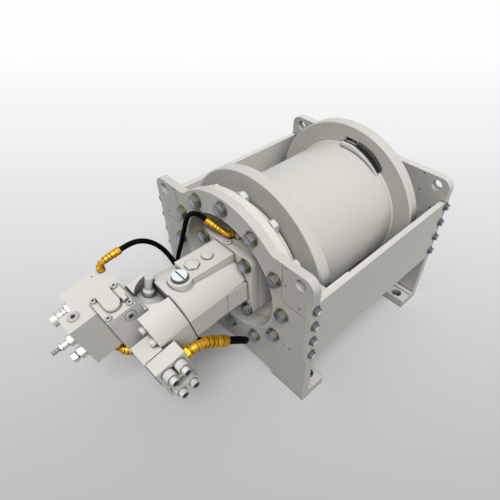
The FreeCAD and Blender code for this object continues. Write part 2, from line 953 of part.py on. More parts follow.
def toothed_rod(teeth, turn, middle, width):
    pitch = gear_module * teeth / 2.0
    tip = pitch + gear_module * addendum
    root = pitch - gear_module * dedendum
    wire = gear_outline(teeth, tip, root, gear_backlash, turn, middle)
    return Part.Face(wire).extrude(Vector(0, width, 0))


def ring_gear():
    """Internal gear fixed in the bore of the drum: its tooth spaces are cut by a larger tooth form."""
    pitch = gear_module * ring_teeth / 2.0
    y0 = front + gear_start
    blank = rod(drum_bore_radius - seat_clearance, Vector(0, y0, axis_height), across, gear_width)
    middle = Vector(0, y0, axis_height)
    tip = pitch - gear_module * addendum
    root = pitch + gear_module * dedendum
    wire = gear_outline(ring_teeth, root, tip, -gear_backlash, 0.0, middle)
    return blank.cut(Part.Face(wire).extrude(Vector(0, gear_width, 0)))


def planet_angle(k):
    return k * 360.0 / planet_count


def planet_gear(k):
    y0 = front + gear_start
    middle = Vector(0, y0, axis_height + planet_circle)
    gear = toothed_rod(planet_teeth, 0.0, middle, gear_width)
    bore = rod(pin_radius + running_clearance, middle, across, gear_width)
    planet = gear.cut(bore)
    planet.rotate(centre, across, planet_angle(k))
    return planet


def planet_carrier():
    """Fixed cage bolted to the end of the journal: two plates joined by posts between the planets."""
    y0 = front + gear_start - carrier_gap - carrier_plate
    y1 = front + gear_start + gear_width + carrier_gap
    bore = shaft_radius + running_clearance
    near = disc(carrier_radius, bore, y0, y0 + carrier_plate)
    far = disc(carrier_radius, bore, y1, y1 + carrier_plate)
    posts = []
    pins = []
    for k in range(planet_count):
        start = around(planet_circle, planet_angle(k) + 60.0, y0 + carrier_plate)
        posts.append(rod(carrier_post, start, across, y1 - y0 - carrier_plate))
        start = around(planet_circle, planet_angle(k), y0)
        pins.append(rod(pin_radius + seat_clearance, start, across, y1 - y0 + carrier_plate))
    return near.fuse([far] + posts).cut(pins).removeSplitter()


def planet_pins():
    y0 = front + gear_start - carrier_gap - carrier_plate
    length = gear_width + 2.0 * (carrier_gap + carrier_plate)
    pins = []
    for k in range(planet_count):
        pins.append(rod(pin_radius, around(planet_circle, planet_angle(k), y0), across, length))
    return group(pins)


def sun_shaft():
    """Input shaft from the motor through the brake, with the sun gear cut on its end."""
    y0 = front + motor_flange_front + motor_flange - motor_spigot_depth + running_clearance
    y1 = front + gear_start
    shaft = rod(shaft_radius, Vector(0, y0, axis_height), across, y1 - y0)
    end = y1 + gear_width + carrier_gap + carrier_plate
    tail = rod(shaft_radius, Vector(0, y1 + gear_width, axis_height), across, end - y1 - gear_width)
    sun = toothed_rod(sun_teeth, 0.0, Vector(0, y1, axis_height), gear_width)
    return shaft.fuse([sun, tail]).removeSplitter()


# Brake

def brake_housing():
    """Square block behind the motor flange, hollow for the discs, with the release port on top."""
    y0 = front + brake_front
    y1 = front + recess_depth
    block = rounded_square(brake_half, brake_corner, y0, y1)
    x0 = brake_port_x - brake_port_width / 2.0
    top = axis_height + brake_half
    boss_y = (y0 + y1) / 2.0 - brake_port_depth / 2.0
    x1 = x0 + brake_port_width
    boss = box(x0, x1, boss_y, boss_y + brake_port_depth, top - 1.0, top + brake_port_height)
    cavity = rod(brake_cavity, Vector(0, y0 + brake_wall, axis_height), across, y1 - y0 - brake_wall)
    bore = rod(shaft_radius + shaft_gap, Vector(0, y0, axis_height), across, brake_wall)
    holes = []
    for x in (-motor_screw_half, motor_screw_half):
        for z in (-motor_screw_half, motor_screw_half):
            start = Vector(x, y0, axis_height + z)
            depth = motor_screw_length - motor_flange + screw_run_out
            holes.append(rod(m20_thread / 2.0 + hole_clearance, start, across, depth))
    return block.fuse(boss).cut([cavity, bore] + holes).removeSplitter()


def brake_layers():
    """Start of each disc in the pack, stator first and last."""
    start = front + recess_depth - disc_gap
    pitch = disc_thickness + disc_gap
    return [start - (k + 1) * pitch + disc_gap for k in range(2 * rotor_discs + 1)]


def brake_rotor_discs():
    layers = brake_layers()
    inner = shaft_radius + seat_clearance
    return group([disc(rotor_disc_radius, inner, y, y + disc_thickness) for y in layers[1::2]])


def brake_stator_discs():
    layers = brake_layers()
    outer = brake_cavity - running_clearance
    return group([disc(outer, stator_disc_inner, y, y + disc_thickness) for y in layers[0::2]])


def brake_piston():
    y1 = brake_layers()[-1] - disc_gap
    outer = brake_cavity - running_clearance
    return disc(outer, stator_disc_inner, y1 - piston_length, y1)


def brake_springs():
    y0 = front + brake_front + brake_wall
    y1 = brake_layers()[-1] - disc_gap - piston_length
    springs = []
    for k in range(spring_count):
        place = around(spring_circle, k * 360.0 / spring_count, y0)
        springs.append(rod(spring_radius, place, across, y1 - y0))
    return group(springs)


# Motor

def motor_section(half):
    """Section in the XZ plane: arched top down to a crease, straight sides and a narrowed belly."""
    radius = half * motor_top_curve
    crease = half * motor_crease
    sweep = math.atan2(half, crease - half + radius)
    bulge_x = radius * math.sin(sweep / 2.0)
    bulge_z = half - radius + radius * math.cos(sweep / 2.0)
    a = Vector(-half, 0, crease)
    b = Vector(0, 0, half)
    c = Vector(half, 0, crease)
    low = Vector(half, 0, -motor_side_drop)
    belly = Vector(motor_belly_half, 0, -motor_belly_drop)
    edges = [Part.Arc(a, Vector(-bulge_x, 0, bulge_z), b).toShape()]
    edges.append(Part.Arc(b, Vector(bulge_x, 0, bulge_z), c).toShape())
    path = [c, low, belly, Vector(-belly.x, 0, belly.z), Vector(-low.x, 0, low.z), a]
    edges += [Part.LineSegment(p, q).toShape() for p, q in zip(path, path[1:])]
    return Part.Wire(edges)


def motor_housing():
    """Square flange and a body that swells towards the leaning end face."""
    y0 = front + motor_flange_front
    flange = rounded_square(motor_flange_half, motor_flange_corner, y0, y0 + motor_flange)
    near = motor_section(motor_half_width_front)
    near.translate(Vector(0, y0 + 1.0, axis_height))
    far = leaned(motor_section(motor_half_width_end))
    body = Part.makeLoft([near, far], True, True)
    pad_top = axis_height + motor_pad_top
    pad = box(-motor_pad_half, motor_pad_half, y0 - motor_pad_length, y0, axis_height, pad_top)
    boss_start = Vector(drain_boss_x, front + drain_boss_y, axis_height)
    boss = rod(drain_boss_radius, boss_start, up, drain_boss_top)
    crease = motor_half_width_front * motor_crease
    rail_start = y0 - motor_rail_end
    low = axis_height - motor_side_drop
    rail = box(motor_belly_half, motor_rail_half_width, rail_start, y0, low, axis_height + crease)
    shell = flange.fuse([body, pad, boss, rail]).removeSplitter()
    socket = Vector(0, y0 + motor_flange - motor_spigot_depth, axis_height)
    cuts = [rod(shaft_radius + shaft_gap, socket, across, motor_flange)]
    for x in (-motor_screw_half, motor_screw_half):
        for z in (-motor_screw_half, motor_screw_half):
            start = Vector(x, y0 - 1.0, axis_height + z)
            cuts.append(rod(m20_thread / 2.0 + hole_clearance, start, across, motor_flange + 2.0))
    stop = Vector(stop_x, stop_y, stop_pocket_floor)
    scallop = rod(stop_radius + stop_scallop, stop, stop_axis(), port_plate_top)
    return shell.cut(cuts + [leaned(scallop)])


def motor_screws():
    screws = []
    y0 = front + motor_flange_front
    length = motor_screw_length
    for x in (-motor_screw_half, motor_screw_half):
        for z in (-motor_screw_half, motor_screw_half):
            seat = Vector(x, y0, axis_height + z)
            screws.append(hex_screw(seat, across, m20_flats, m20_head, m20_washer, m20_thread, length))
    return group(screws)


def motor_plugs():
    top = axis_height + motor_pad_top
    plain = rod(round_plug_radius, Vector(0, front + round_plug_y, top), up, plug_height)
    hexed = hexagon(hex_plug_flats, Vector(0, front + hex_plug_y, top), up, plug_height)
    flange_top = axis_height + motor_flange_half
    y = front + motor_flange_front + motor_flange / 2.0
    small = rod(flange_plug_radius, Vector(0, y, flange_top), up, socket_plug_height)
    return group([plain, hexed, small])


def drain_plug():
    start = Vector(drain_boss_x, front + drain_boss_y, axis_height + drain_boss_top)
    plug = rod(drain_plug_radius, start, up, drain_plug_height)
    z = start.z + drain_plug_height
    reach = drain_plug_radius
    half = plug_slot / 2.0
    slot = box(start.x - reach, start.x + reach, start.y - half, start.y + half, z - plug_slot, z)
    return plug.cut(slot)


# End assembly in the leaning frame

def port_plate():
    """End cap with a sloping shoulder, stepped at the manifold, and a pocket for the stop screw."""
    left, far_right = port_plate_left, port_plate_right
    top, low = port_plate_top, port_plate_bottom
    slope = port_plate_chamfer
    path = [Vector(left, 0, low), Vector(left, 0, top - slope), Vector(left + slope, 0, top)]
    path += [Vector(port_plate_shoulder, 0, top)]
    edges = [Part.LineSegment(p, q).toShape() for p, q in zip(path, path[1:])]
    crease = Vector(far_right, 0, port_plate_crease)
    swell = port_plate_swell
    bulge_x = (port_plate_shoulder + far_right) / 2.0 + swell
    bulge = Vector(bulge_x, 0, (top + port_plate_crease) / 2.0 + swell)
    edges.append(Part.Arc(path[-1], bulge, crease).toShape())
    path = [crease, Vector(far_right, 0, low), Vector(left, 0, low)]
    edges += [Part.LineSegment(p, q).toShape() for p, q in zip(path, path[1:])]
    section = Part.Face(Part.Wire(edges))
    whole = section.extrude(Vector(0, -port_plate_step, 0))
    step_right = manifold_left - port_plate_step_gap
    step = box(left - 1.0, step_right, -port_plate_step - 1.0, -port_plate_length, low - 1.0, top + 1.0)
    axis = stop_axis()
    start = Vector(stop_pocket_x, stop_y, stop_pocket_floor)
    cuts = [step, rod(stop_pocket_radius, start, axis, port_plate_top)]
    hole = port_plate_thread / 2.0 + hole_clearance
    depth = port_plate_screw_length + screw_run_out
    for x, z in port_plate_screw_places:
        cuts.append(rod(hole, Vector(x, -port_plate_step, z), across, depth))
    return leaned(whole.cut(cuts))


def stop_screw():
    """Stroke stop in its pocket: flared foot, shank and domed nut."""
    axis = stop_axis()
    start = Vector(stop_x, stop_y, stop_pocket_floor)
    foot_part = rod(stop_base_radius, start, axis, stop_base_height)
    flare = Part.makeCone(stop_base_radius, stop_radius, stop_flare, start + axis * stop_base_height, axis)
    low = stop_base_height + stop_flare
    shank = rod(stop_radius, start + axis * low, axis, stop_height - low)
    return leaned(foot_part.fuse([flare, shank]).removeSplitter())


def port_plate_screws():
    screws = []
    for x, z in port_plate_screw_places:
        seat = Vector(x, -port_plate_step, z)
        radius = port_plate_head / 2.0
        screw = socket_screw(seat, across, radius, m12_thread, port_plate_thread, port_plate_screw_length)
        screws.append(leaned(screw))
    return group(screws)


def manifold():
    low, top = manifold_bottom, manifold_top
    block = box(manifold_left, manifold_right, manifold_front, -port_plate_step, low, top)
    return leaned(block)


def port_block():
    """Block on the right of the manifold that carries the four bolt port flange."""
    low, top = manifold_bottom, manifold_top
    block = box(manifold_right, port_block_right, port_block_front, port_block_back, low, top)
    start = Vector(port_block_right - port_depth, port_flange_y, port_flange_z)
    holes = [rod(port_bore / 2.0, start, right, port_depth)]
    for y, z in port_screw_places():
        end = Vector(port_block_right - port_bolt_grip, y, z)
        holes.append(rod(port_bolt / 2.0 + hole_clearance, end, right, port_bolt_grip))
    return leaned(block.cut(holes))


def port_screw_places():
    places = []
    for y in (-0.5, 0.5):
        for z in (-0.5, 0.5):
            places.append((port_flange_y + y * port_flange_pitch_y, port_flange_z + z * port_flange_pitch_z))
    return places


def port_flange():
    """Four lobed flange round the work port."""
    x = port_block_right
    start = Vector(x, port_flange_y, port_flange_z)
    body = rod(port_bore / 2.0 + port_flange_wall, start, right, port_flange_thickness)
    lobes = []
    holes = [rod(port_bore / 2.0, start, right, port_flange_thickness)]
    for y, z in port_screw_places():
        lobes.append(rod(port_flange_lobe, Vector(x, y, z), right, port_flange_thickness))
        holes.append(rod(port_bolt / 2.0 + hole_clearance, Vector(x, y, z), right, port_flange_thickness))
    half = port_flange_pitch_y / 2.0
    low = port_flange_z - port_flange_pitch_z / 2.0
    high = port_flange_z + port_flange_pitch_z / 2.0
    waist_end = x + port_flange_thickness - port_flange_relief
    waist = box(x, waist_end, port_flange_y - half, port_flange_y + half, low, high)
    return leaned(body.fuse(lobes + [waist]).cut(holes).removeSplitter())


def port_flange_screws():
    screws = []
    inward = right * -1.0
    grip = port_flange_thickness + port_bolt_grip
    for y, z in port_screw_places():
        seat = Vector(port_block_right + port_flange_thickness, y, z)
        screw = socket_screw(seat, inward, port_screw_radius, port_screw_head, port_bolt, grip)
        screws.append(leaned(screw))
    return group(screws)


def valve_block():
    """Block with a stepped front end, a wider rear part under the cap and a foot on the port plate."""
    low, top = valve_bottom, valve_top
    main = box(valve_left, valve_right, valve_front, valve_back, low, top)
    wide = box(valve_step_x, valve_wide_right, valve_wide_front, valve_back, low, top)
    foot_top = port_plate_top - valve_foot_drop
    foot_part = box(port_plate_left, valve_wide_right, valve_back, -port_plate_length, valve_bottom, foot_top)
    notch = box(valve_left - 1.0, valve_step_x, valve_front - 1.0, valve_step_y, low - 1.0, top + 1.0)
    holes = cap_screw_holes(valve_top, cap_screw_grip + screw_run_out)
    spot = Vector(valve_left + gauge_hole_inset, valve_back - gauge_hole_setback, valve_top)
    holes.append(rod(gauge_hole / 2.0, spot, up * -1.0, gauge_hole_depth))
    return leaned(main.fuse([wide, foot_part]).cut([notch] + holes).removeSplitter())


def valve_cap():
    """Cover plate with a round ended boss and a small locking tab."""
    top = valve_top + cap_thickness
    plate = box(cap_left, valve_wide_right, valve_wide_front, cap_back, valve_top, top)
    end_x = cap_boss_end - cap_boss_half
    low_y = cap_boss_y - cap_boss_half
    high_y = cap_boss_y + cap_boss_half
    bar = box(cap_left + cap_boss_setback, end_x, low_y, high_y, top, top + cap_boss_height)
    nose = rod(cap_boss_half, Vector(end_x, cap_boss_y, top), up, cap_boss_height)
    tab_x = cap_boss_end - cap_tab_length
    tab_y = cap_back - cap_tab_setback - cap_tab_width
    tab_end = cap_boss_end - cap_tab_inset
    tab = box(tab_x - cap_tab_inset, tab_end, tab_y, tab_y + cap_tab_width, top, top + cap_tab_height)
    holes = cap_screw_holes(top, cap_thickness)
    return leaned(plate.fuse([bar, nose, tab]).cut(holes).removeSplitter())


def cap_screw_places():
    places = []
    for x in (cap_left + cap_screw_inset, valve_wide_right - cap_screw_inset):
        for y in (valve_wide_front + cap_screw_inset, cap_back - cap_screw_inset):
            places.append((x, y))
    return places


def cap_screw_holes(top, depth):
    hole = cap_thread / 2.0 + hole_clearance
    return [rod(hole, Vector(x, y, top), up * -1.0, depth) for x, y in cap_screw_places()]


def cap_screws():
    screws = []
    top = valve_top + cap_thickness
    length = cap_thickness + cap_screw_grip
    inward = up * -1.0
    for x, y in cap_screw_places():
        seat = Vector(x, y, top)
        screw = socket_screw(seat, inward, cap_screw_radius, cap_screw_head, cap_thread, length)
        screws.append(leaned(screw))
    return group(screws)


def block_plugs():
    """Socket plugs on the top, the side and the front end of the valve block."""
    level = valve_top - plug_drop
    top = Vector(valve_right - top_plug_inset, valve_front + plug_setback, valve_top)
    side = Vector(valve_wide_right, valve_back - plug_setback, level)
    end = Vector(valve_step_x + plug_drop, valve_front, level)
    plugs = []
    wide = socket_plug_radius
    places = ((top, up, wide), (side, right, wide), (end, across * -1.0, end_plug_radius))
    for start, along, radius in places:
        plug = rod(radius, start, along, socket_plug_height)
        socket = hexagon(radius * 0.8, start + along, along, socket_plug_height)
        plugs.append(leaned(plug.cut(socket)))
    return group(plugs)


def turned_valve(start, stages):
    """Cartridge built of coaxial stages of (kind, size, length) towards the front."""
    solids = []
    y = start.y
    along = across * -1.0
    for kind, size, length in stages:
        place = Vector(start.x, y, start.z)
        make = hexagon if kind == "hex" else rod
        solids.append(make(size, place, along, length))
        y -= length
    return leaned(solids[0].fuse(solids[1:]).removeSplitter())


def counterbalance_cartridge():
    start = Vector(valve_left + counterbalance_inset, valve_step_y, valve_top - counterbalance_drop)
    return turned_valve(start, [("hex", 30.0, 10.0), ("rod", 13.0, 22.0), ("rod", 16.0, 15.0)])


def relief_cartridge():
    start = Vector(valve_right - cartridge_inset, valve_front, valve_top - relief_drop)
    return turned_valve(start, [("hex", 26.0, 14.0), ("rod", 9.0, 14.0), ("rod", 5.5, 26.0)])


def shuttle_cartridge():
    start = Vector(valve_right - cartridge_inset, valve_front, valve_top - shuttle_drop)
    return turned_valve(start, [("hex", 27.0, 18.0), ("rod", 9.0, 3.0), ("hex", 22.0, 13.0)])


# Hoses and their fittings

def hose(points, diameter):
    """Tube along straight runs joined by tangent arcs, and the radii of those arcs."""
    corners = [Vector(*p) for p in points]
    runs = [b.sub(a) for a, b in zip(corners, corners[1:])]
    edges = []
    radii = []
    start = corners[0]
    for k in range(1, len(corners) - 1):
        before = Vector(runs[k - 1]).normalize()
        after = Vector(runs[k]).normalize()
        turn = before.getAngle(after)
        trim = 0.45 * min(runs[k - 1].Length, runs[k].Length)
        radius = trim / math.tan(turn / 2.0)
        radii.append(round(radius, 1))
        enter = corners[k] - before * trim
        leave = corners[k] + after * trim
        bisector = (after - before).normalize()
        middle = corners[k] + bisector * (radius / math.cos(turn / 2.0) - radius)
        edges.append(Part.LineSegment(start, enter).toShape())
        edges.append(Part.Arc(enter, middle, leave).toShape())
        start = leave
    edges.append(Part.LineSegment(start, corners[-1]).toShape())
    path = Part.Wire(edges)
    circle = Part.Wire(Part.makeCircle(diameter / 2.0, corners[0], runs[0]))
    solid = path.makePipeShell([circle], True, False)
    volume = math.pi * diameter ** 2 / 4.0 * path.Length
    ratio = round(solid.Volume / volume, 4)
    print("hose radii", radii, "length", round(path.Length, 1), "volume ratio", ratio)
    return solid


brake_hose_route = [
    (-131, front - 207, 417),
    (-129, front - 184, 422),
    (-127, front - 158, 418),
    (-124, front - 133, 402),
    (-119, front - 110, 372),
    (-111, front - 93, 328),
    (-99, front - 82, 272),
    (-89, front - 74, 216),
    (-119, front - 65, 184),
    (-162, front - 51, 184),
    (-192, front - 42, 216),
    (-182, front - 36, 261),
    (-167, front - 28, 306),
    (-152, front - 23, 352),
    (-142, front - 20, 382),
    (-133, front - 18, 406),
    (-120, front - 15, 425),
    (-103, front - 12, 437),
    (-84, front - 8, 439),
    (-66, front - 2, 431),
]

drain_elbow = (125, front - 201, 284)

drain_hose_route = [
    (134, front - 120, 239),
    (137, front - 97, 222),
    (136, front - 77, 202),
    (130, front - 60, 178),
    (118, front - 50, 158),
    (101, front - 50, 141),
    (85, front - 60, 135),
    (71, front - 78, 138),
    (58, front - 104, 150),
    (44, front - 135, 163),
    (27, front - 171, 174),
    (9, front - 207, 183),
    (-10, front - 240, 188),
    (-27, front - 267, 189),
]


def link(start, stop, radius):
    span = Vector(*stop).sub(Vector(*start))
    return rod(radius, Vector(*start), span, span.Length)


def ball(place, radius):
    return Part.makeSphere(radius, Vector(*place))


def hose_fitting(places, radius, sleeve):
    """Nut on its port, a bent pipe through the places and the crimped sleeve on the last run."""
    start = Vector(*places[0])
    rise = Vector(*places[1]).sub(start).normalize()
    solids = []
    for a, b in zip(places[:-2], places[1:-1]):
        solids += [link(a, b, radius), ball(b, radius)]
    solids.append(link(places[-2], places[-1], sleeve))
    nut = hexagon(radius * 2.5, start, rise, radius * 1.1)
    return nut.fuse(solids).removeSplitter()


def sleeve_start(tip, inner, length):
    """Start of a sleeve that lies in line with the first run of its hose."""
    away = Vector(*tip).sub(Vector(*inner)).normalize()
    place = Vector(*tip) + away * length
    return (place.x, place.y, place.z)


def lifted(point, along, rise):
    """Point at a distance from a spot on a block of the leaning end frame."""
    place = leaned_point(*(point + along * rise))
    return (place.x, place.y, place.z)


def brake_hose_valve_fitting():
    spot = Vector(valve_left + hose_port_inset, valve_back - hose_port_setback, valve_top)
    tip = brake_hose_route[0]
    tail = sleeve_start(tip, brake_hose_route[1], brake_sleeve)
    places = [lifted(spot, up, 0.0), lifted(spot, up, hose_stem), tail, tip]
    return hose_fitting(places, brake_stem_radius, brake_sleeve_radius)


def brake_hose_brake_fitting():
    face = front + (brake_front + recess_depth - brake_port_depth) / 2.0
    level = axis_height + brake_half + brake_port_rise
    tip = brake_hose_route[-1]
    tail = sleeve_start(tip, brake_hose_route[-2], brake_sleeve)
    places = [(brake_port_x, face, level), (brake_port_x, face - hose_stem, level), tail, tip]
    return hose_fitting(places, brake_stem_radius, brake_sleeve_radius)


def drain_hose_block_fitting():
    spot = Vector(port_block_right - drain_port_inset, port_block_back, manifold_top - drain_port_drop)
    tip = drain_hose_route[0]
    tail = sleeve_start(tip, drain_hose_route[1], drain_sleeve)
    places = [lifted(spot, across, 0.0), lifted(spot, across, hose_stem), drain_elbow, tail, tip]
    return hose_fitting(places, drain_stem_radius, drain_sleeve_radius)


def drain_hose_valve_fitting():
    spot = Vector(valve_step_x + drain_elbow_inset, valve_front + drain_elbow_setback, valve_bottom)
    tip = drain_hose_route[-1]
    tail = sleeve_start(tip, drain_hose_route[-2], drain_end_sleeve)
    places = [lifted(spot, up, 0.0), lifted(spot, up, -drain_elbow_drop), tail, tip]
    return hose_fitting(places, drain_stem_radius, drain_sleeve_radius)


def build():
    os.makedirs("parts", exist_ok=True)
    save("front_plate", front_plate())
    save("rear_plate", rear_plate())
    save("left_side_sheet", side_sheet(-1))
    save("right_side_sheet", side_sheet(1))
    save("foot_front_left", foot(-1, -1))
    save("foot_front_right", foot(1, -1))
    save("foot_rear_left", foot(-1, 1))
    save("foot_rear_right", foot(1, 1))
    save("sheet_screws", sheet_screws())
    save("flange_pads", flange_pads())
    save("flange_guides", flange_guides())
    save("gearbox_housing", gearbox_housing())
    save("ring_screws", ring_screws())
    save("ring_nuts", ring_nuts())
    save("front_bearing", front_bearing())
    save("rear_bearing", rear_bearing())
    save("rear_hub", rear_hub())
    save("rear_screws", rear_screws())
    save("hub_cover", hub_cover())
    save("drum", drum())
    save("rope_wedge", rope_wedge())
    save("rope_clamp", rope_clamp())
    save("rope_clamp_screws", rope_clamp_screws())
    save("ring_gear", ring_gear())
    for k in range(planet_count):
        save("planet_gear_%d" % (k + 1), planet_gear(k))
    save("planet_carrier", planet_carrier())
    save("planet_pins", planet_pins())
    save("sun_shaft", sun_shaft())
    save("brake_housing", brake_housing())
    save("brake_rotor_discs", brake_rotor_discs())
    save("brake_stator_discs", brake_stator_discs())
    save("brake_piston", brake_piston())
    save("brake_springs", brake_springs())
    save("motor_housing", motor_housing())
    save("motor_screws", motor_screws())
    save("motor_plugs", motor_plugs())
    save("drain_plug", drain_plug())
    save("port_plate", port_plate())
    save("port_plate_screws", port_plate_screws())
    save("stop_screw", stop_screw())
    save("manifold", manifold())
    save("port_block", port_block())
    save("port_flange", port_flange())
    save("port_flange_screws", port_flange_screws())
    save("valve_block", valve_block())
    save("valve_cap", valve_cap())
    save("cap_screws", cap_screws())
    save("block_plugs", block_plugs())
    save("counterbalance_cartridge", counterbalance_cartridge())
    save("relief_cartridge", relief_cartridge())
    save("shuttle_cartridge", shuttle_cartridge())
    save("brake_hose", hose(brake_hose_route, brake_hose))
    save("drain_hose", hose(drain_hose_route, drain_hose))
    save("brake_hose_valve_fitting", brake_hose_valve_fitting())
    save("brake_hose_brake_fitting", brake_hose_brake_fitting())
    save("drain_hose_block_fitting", drain_hose_block_fitting())
    save("drain_hose_valve_fitting", drain_hose_valve_fitting())


build()
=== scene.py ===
import logging
import math
from abc import ABC, abstractmethod
from dataclasses import dataclass
from enum import Enum
from typing import ClassVar

import bmesh
import bpy
import numpy as np
from bpy.types import ID, Material, Node, NodeSocket, NodeTree, Object, World
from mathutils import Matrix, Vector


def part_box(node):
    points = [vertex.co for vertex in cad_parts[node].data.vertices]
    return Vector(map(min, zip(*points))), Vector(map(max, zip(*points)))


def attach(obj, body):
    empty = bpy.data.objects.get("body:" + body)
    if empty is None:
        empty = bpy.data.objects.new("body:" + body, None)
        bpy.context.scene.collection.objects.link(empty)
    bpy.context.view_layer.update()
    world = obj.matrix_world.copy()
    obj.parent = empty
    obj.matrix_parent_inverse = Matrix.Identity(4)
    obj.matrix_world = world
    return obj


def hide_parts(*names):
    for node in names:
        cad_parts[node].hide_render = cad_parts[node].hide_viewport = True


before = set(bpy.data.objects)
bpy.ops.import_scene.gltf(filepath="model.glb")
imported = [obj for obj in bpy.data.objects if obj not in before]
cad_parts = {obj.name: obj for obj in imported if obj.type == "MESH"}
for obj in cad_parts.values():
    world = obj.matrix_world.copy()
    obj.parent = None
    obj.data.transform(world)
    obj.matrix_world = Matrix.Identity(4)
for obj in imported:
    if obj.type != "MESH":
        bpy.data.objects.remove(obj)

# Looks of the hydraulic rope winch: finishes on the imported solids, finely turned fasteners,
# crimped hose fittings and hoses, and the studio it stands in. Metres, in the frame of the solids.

Pair = tuple[float, float]
Triple = tuple[float, float, float]
Layers = list[tuple[str, NodeSocket]]

log = logging.getLogger("winch")
MM = 0.001
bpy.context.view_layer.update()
SLOT_RIM_MM = 6.3
ROPE_SLOT_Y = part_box("rope_wedge")[1].y - SLOT_RIM_MM * MM
DRUM_AXIS = 0.295
UP = np.array([0.0, 0.0, 1.0])
TO_MOTOR = np.array([0.0, -1.0, 0.0])
TO_REAR = np.array([0.0, 1.0, 0.0])
TO_RIGHT = np.array([1.0, 0.0, 0.0])

# Sockets of a Mix node: its share, the two colours going in and the colour coming out.
SHARE, UNDER, OVER, MIXED = 0, 6, 7, 2
# The same for two plain numbers.
LOW, HIGH, LEVEL = 2, 3, 0


# Colour and node helpers

def linear(code: str) -> tuple[float, float, float, float]:
    """Turn an sRGB hex value into a linear colour.

    Args:
        code: Six hex digits after a hash sign.

    Returns:
        Linear red, green, blue and an alpha of 1.
    """
    channels = [int(code[k:k + 2], 16) / 255.0 for k in (1, 3, 5)]
    scaled = [c / 12.92 if c <= 0.04045 else ((c + 0.055) / 1.055) ** 2.4 for c in channels]
    return (scaled[0], scaled[1], scaled[2], 1.0)


def add_node(tree: NodeTree, kind: str, settings: dict | None = None, links: dict | None = None) -> Node:
    """Add a node with its settings and incoming links.

    Args:
        tree: Node tree that takes the node.
        kind: Blender's type name of the node.
        settings: Attribute names or input names with their values.
        links: Input names or numbers with the sockets that feed them.

    Returns:
        The new node.
    """
    node = tree.nodes.new(kind)
    for key, value in (settings or {}).items():
        if isinstance(key, str) and hasattr(node, key):
            setattr(node, key, value)
        else:
            node.inputs[key].default_value = value
    for key, socket in (links or {}).items():
        tree.links.new(socket, node.inputs[key])
    return node


def empty_tree(holder: Material | World) -> NodeTree:
    """Give a material or world an empty node tree.

    Args:
        holder: The material or world.

    Returns:
        Its tree without any node.
    """
    holder.use_nodes = True
    holder.node_tree.nodes.clear()
    return holder.node_tree


def placed(name: str, data: ID) -> Object:
    """Put an object into the scene.

    Args:
        name: Name of the object.
        data: Its mesh, curve, camera or lamp.

    Returns:
        The new object.
    """
    thing = bpy.data.objects.new(name, data)
    bpy.context.scene.collection.objects.link(thing)
    return thing


def background_rays(tree: NodeTree) -> NodeSocket:
    """Find the rays that show the background: the camera's own, mirrored ones and those through glass.

    Args:
        tree: Node tree of the floor or the sky.

    Returns:
        Socket with 1 for such a ray and 0 for the light that the surfaces gather.
    """
    ray = add_node(tree, "ShaderNodeLightPath")
    shown = ray.outputs["Is Camera Ray"]
    for kind in ("Is Glossy Ray", "Is Transmission Ray"):
        shown = add_node(tree, "ShaderNodeMath", {"operation": "MAXIMUM"},
                         {0: shown, 1: ray.outputs[kind]}).outputs[0]
    return shown


def hollow_share(tree: NodeTree, reach_mm: float, seen: Pair, most: float = 0.94,
                 samples: int = 4) -> NodeSocket:
    """Find the hollows: the share rises as a point sees less of the space within its reach.

    Args:
        tree: Node tree of the material.
        reach_mm: How far a point feels for its neighbours, in millimetres.
        seen: Open part of the space at which the share starts, and at which it is full.
        most: Share where it is full.
        samples: Rays that each point sends out.

    Returns:
        Socket with the share.
    """
    felt = add_node(tree, "ShaderNodeAmbientOcclusion", {"samples": samples, "Distance": reach_mm * MM})
    share = add_node(tree, "ShaderNodeMapRange", {"From Min": seen[0], "From Max": seen[1], "To Max": most},
                     {"Value": felt.outputs["AO"]})
    return share.outputs["Result"]


# Finishes

@dataclass(frozen=True)
class Finish(ABC):
    """A finish that makes its material once and hands out the same one after that."""

    name: str
    made: ClassVar[dict[str, Material]] = {}

    @abstractmethod
    def wire(self, tree: NodeTree, place: NodeSocket) -> tuple[dict, dict]:
        """Make the patterns.

        Args:
            tree: Node tree of the material.
            place: Object coordinates.

        Returns:
            The shader's fixed inputs with their values, and the others with the sockets that feed them.
        """

    def material(self) -> Material:
        """Give the material of this finish.

        Returns:
            The material, built at the first call.
        """
        if self.name not in Finish.made:
            skin = bpy.data.materials.new(self.name)
            tree = empty_tree(skin)
            place = add_node(tree, "ShaderNodeTexCoord").outputs["Object"]
            shader = add_node(tree, "ShaderNodeBsdfPrincipled", *self.wire(tree, place))
            add_node(tree, "ShaderNodeOutputMaterial", links={"Surface": shader.outputs["BSDF"]})
            Finish.made[self.name] = skin
        return Finish.made[self.name]


